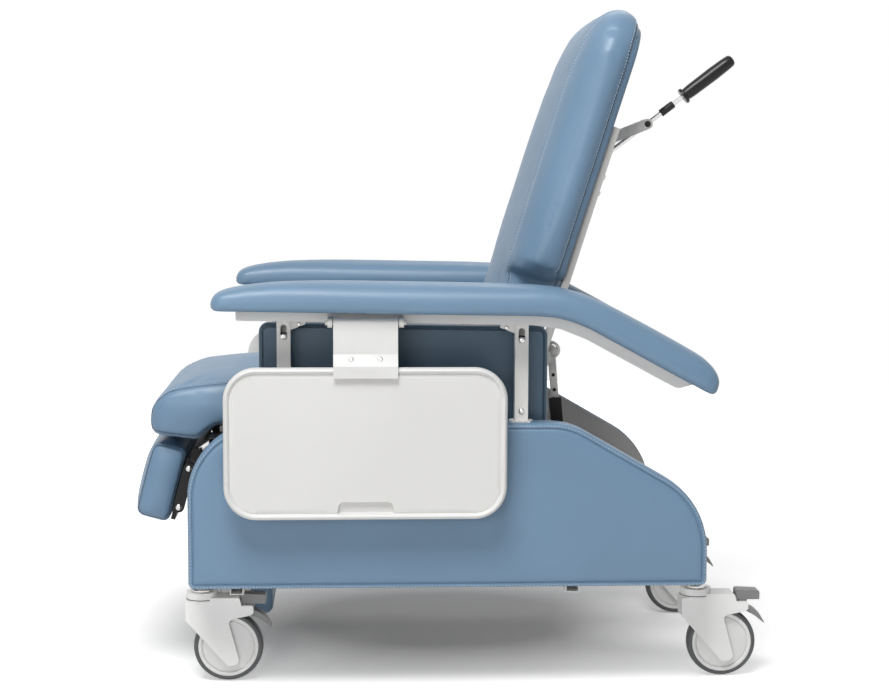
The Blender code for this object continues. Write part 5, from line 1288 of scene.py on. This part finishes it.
def make_leg_fittings(side, sign):
    """Bracket bolts and the bright strip on the hanger that shows under the seat's lip."""
    for number, at in enumerate((LEG_PIVOT, LEG_LOWER_BOLT)):
        name = "legrest_bolt_%d_%s" % (number + 1, side)
        screw("leg", name, (at.x, sign * LEG_BAR_OUTER, at.y), (0, sign, 0), "legrest")
    start, end = LEG_HANGER
    along = (end - start).normalized()
    across = Vector((-along.y, along.x))
    half = 0.0065
    corner = 0.003
    thick = 0.0012
    ease = 0.0005
    top = start + along * 0.006
    foot = end - along * 0.008
    # The floor's painted glow: an ellipse round the chair, past which it rises over the shadow's fringe and
    # then over the lamps' fall-off.
    plan = [top - across * half, foot - across * half, foot + across * half, top + across * half]
    corners = [(point.x, point.y, corner) for point in plan]
    face = LEG_HANGER_OUTER + thick
    steps = [(0.0, LEG_HANGER_OUTER), (0.0, face - ease), (0.0006, face)]
    shape = layered(corners, steps, on_side(sign), 0.001)
    add_piece("leg_hanger_strip_" + side, shape, "steel", "base")


def make_upright_bolts(side, sign):
    """Bolts that stand out of the rear of a back upright."""
    behind = back_point(0, 0, -1) - back_point(0, 0, 0)
    length = UPRIGHT_WEB - UPRIGHT_BACK
    profile = [(radius, length + height) for radius, height in BOLT_END] + [BOLT_FOOT]
    for number, up in enumerate((0.357, 0.388)):
        at = back_point(up, sign * UPRIGHT_HALF_GAP, UPRIGHT_WEB)
        lathe("upright_bolt_%d_%s" % (number + 1, side), profile, at, behind, "steel", "back", 24)


def lever_point(along, across=0.0):
    x, z = RELEASE_PIVOT + Vector((cos(RELEASE_ANGLE), sin(RELEASE_ANGLE))) * along
    return Vector((x, across, z))


def make_release_grip():
    """Rubber grip with a collar at its start and a round nose."""
    inside = RELEASE_ROD_RADIUS + 0.0002
    end = GRIP_LENGTH
    profile = [(inside, 0.0)]
    profile += [(GRIP_RADIUS + past, at) for past, at in GRIP_COLLAR]
    profile += [(GRIP_RADIUS + past, end * share) for past, share in GRIP_SWELL]
    profile += [(GRIP_RADIUS + past, end - before) for past, before in GRIP_NOSE]
    profile += [(radius, end - before) for radius, before in GRIP_VENT]
    profile.append((inside, end - 0.0175))
    axis = lever_point(1) - lever_point(0)
    grip = ring_lathe("release_grip_rubber", profile, lever_point(GRIP_START), axis, "grip", "release_lever")
    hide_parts("release_grip")
    wall = 0.0074
    edge = 0.0066
    length = 0.0300
    ease = 0.0010
    clip = [(inside, 0.0), (edge, 0.0), (wall, ease), (wall, length - ease), (edge, length), (inside, length)]
    ring_lathe("release_cable_clip", clip, lever_point(0.034), axis, "plastic_black", "release_lever", 32)


def make_release_mount():
    """Caps of the lever's pin and the black cover over the clevis."""
    for side, sign in SIDES.items():
        lathe("release_pin_cap_" + side, PIN_CAP, lever_point(0, sign * STRAP_OUTER), (0, sign, 0),
              "plastic_black", "back", 24)
    low, high = CLEVIS_U
    half = CLEVIS_HALF_WIDTH + 0.0020
    corners = box_corners((-half, low - 0.002), (half, high - 0.003), 0.006)
    steps = [(0.0, BACK_REAR - 0.0006), (0.0, CLEVIS_BACK + 0.003), (0.0010, CLEVIS_BACK),
             (0.0040, CLEVIS_BACK - 0.002)]
    shape = layered(corners, steps, lambda across, up, ahead: back_point(up, across, ahead))
    add_piece("release_cover", shape, "plastic_black", "back", 30.0)


def make_strut_rivets():
    along = (STRUT_HEAD - STRUT_FOOT).normalized()
    for number, distance in enumerate((0.264, 0.292)):
        x, z = STRUT_FOOT + along * distance
        lathe("strut_rivet_%d" % (number + 1), FLUSH_RIVET, (x, STRUT_SIDE_Y, z), (0, -1, 0), "black",
              "strut_upper", 20)


def make_fittings():
    for side, sign in SIDES.items():
        make_tray_screws(side, sign)
        make_arm_screws(side, sign)
        make_leg_fittings(side, sign)
        make_upright_bolts(side, sign)
    make_release_grip()
    make_release_mount()
    make_strut_rivets()


def make_hard_parts():
    """CAD nodes that keep their form, each with a look and the width of its softened edges."""
    for side in SIDES:
        refined("side_board_" + side, "board", BOARD_EDGE)
        refined("caster_rail_" + side, "frame", PLAIN_EDGE)
        refined("arm_rail_" + side, "frame", SHARP_EDGE)
        # The uprights take the darker copy of the frame paint: painted shade.
        refined("back_upright_" + side, "upright", SHARP_EDGE)
        refined("tray_bracket_" + side, "white_paint", PLAIN_EDGE)
        for end in ENDS:
            tag = end + "_" + side
            refined("arm_post_" + tag, "frame", POST_EDGE)
            refined("post_guide_" + tag, "white", PLAIN_EDGE)
            # The latch rods are painted black so that they fill the posts' slots as painted shade.
            paint_node("arm_latch_" + tag, "black")
    for node in ("lower_cross_front", "lower_cross_rear", "seat_cross_rear", "handle_bracket", "strut_bar"):
        refined(node, "frame", PLAIN_EDGE)
    for node in ("seat_cross_front", "leg_link_rear", "leg_link_front", "legrest_board", "strut_tube"):
        refined(node, "black", SHARP_EDGE)
    refined("seat_board", "board", BOARD_EDGE)
    paint_node("release_rod", "steel")


# Stage


def seen_rays(tree):
    """One for rays that show the background: from the camera, and off or through glossy things."""
    rays = tree.nodes.new("ShaderNodeLightPath")
    bounced = combine(tree, "MAXIMUM", rays.outputs["Is Glossy Ray"], rays.outputs["Is Transmission Ray"])
    return combine(tree, "MAXIMUM", rays.outputs["Is Camera Ray"], bounced)


def make_floor():
    """Pale round floor that keeps the shadow near the chair; further out, a painted glow seen by camera and
    glossy rays lifts it to white, painting over the shadow's fringe and the lamps' fall-off.
    """
    shape = bmesh.new()
    bmesh.ops.create_circle(shape, cap_ends=True, segments=64, radius=FLOOR_RADIUS)
    mesh = mesh_from("floor", shape)
    floor = add_object("floor", mesh)
    floor.location = (0, 0, -FLOOR_DROP)
    made, tree, shader, place = new_material("pale_floor", FLOOR_COLOUR, roughness=0.75)
    mottle(tree, place, shader, FLOOR_COLOUR, scale=2.0, amount=0.006)
    vary_gloss(tree, place, shader, scale=12.0, low=0.70, high=0.80)
    bump(tree, noise(tree, place, scale=300.0), shader, strength=0.05, distance=0.0004)
    stretched = {"Vector": place, "Scale": SHADOW_STRETCH, "Location": SHADOW_SHIFT}
    length = add_node(tree, "VectorMath", {0: add_node(tree, "Mapping", stretched).outputs["Vector"]})
    length.operation = "LENGTH"
    distance = length.outputs["Value"]
    shadow_start, shadow_end = SHADOW_REACH
    # Painted light: the glow lifts the floor to white over the shadow's fringe and where the lamps fall off.
    painted_light_on_shadow_fringe = spread(tree, distance, low=0.02, high=0.55, start=shadow_start, end=shadow_end)
    painted_light_past_lamps = spread(tree, distance, low=0.0, high=0.43, start=shadow_end, end=LAMP_REACH)
    painted_glow = combine(tree, "ADD", painted_light_on_shadow_fringe, painted_light_past_lamps)
    shader.inputs["Emission Color"].default_value = WHITE
    tree.links.new(combine(tree, "MULTIPLY", painted_glow, seen_rays(tree)), shader.inputs["Emission Strength"])
    mesh.materials.append(made)


def make_world():
    """White where it is seen, and a weak even light for the rest."""
    world = bpy.data.worlds.new("studio")
    scene.world = world
    world.use_nodes = True
    tree = world.node_tree
    tree.nodes.clear()
    light = add_node(tree, "Background", {"Color": SKY_COLOUR, "Strength": SKY_STRENGTH}).outputs[0]
    seen = add_node(tree, "Background", {"Color": WHITE, "Strength": 1.0}).outputs[0]
    mix = add_node(tree, "MixShader", {"Fac": seen_rays(tree), 1: light, 2: seen})
    add_node(tree, "OutputWorld", {"Surface": mix.outputs["Shader"]})


def make_lights():
    for name, (at, target, size, power) in LAMPS.items():
        data = bpy.data.lights.new(name, "AREA")
        data.energy = power
        data.shape = "RECTANGLE"
        data.size, data.size_y = size
        lamp = add_object(name, data)
        lamp.location = at
        lamp.rotation_euler = (Vector(target) - Vector(at)).to_track_quat("-Z", "Y").to_euler()


def make_camera():
    level = cos(CAMERA_PITCH)
    forward = Vector((sin(CAMERA_YAW) * level, cos(CAMERA_YAW) * level, -sin(CAMERA_PITCH)))
    right = Vector((cos(CAMERA_YAW), -sin(CAMERA_YAW), 0.0))
    up = right.cross(forward)
    turned_right = right * cos(CAMERA_ROLL) + up * sin(CAMERA_ROLL)
    turned_up = up * cos(CAMERA_ROLL) - right * sin(CAMERA_ROLL)
    data = bpy.data.cameras.new("camera")
    data.sensor_width = SENSOR_WIDTH
    data.lens = SENSOR_WIDTH * FOCAL_PIXELS / IMAGE_WIDTH
    camera = add_object("camera", data)
    axes = Matrix((turned_right, turned_up, -forward)).transposed().to_4x4()
    camera.matrix_world = Matrix.Translation(CAMERA_AT) @ axes
    scene.camera = camera


scene.view_settings.view_transform = "Standard"
make_camera()
make_floor()
make_world()
make_lights()
make_hard_parts()
make_seat()
make_back()
make_back_board()
make_leg_pad()
make_apron()
for side in SIDES:
    make_arm_pad(side)
    make_inner_panel(side)
    make_side_panel(side)
    make_tray(side)
    for end in ENDS:
        make_caster(end, side)
make_fittings()
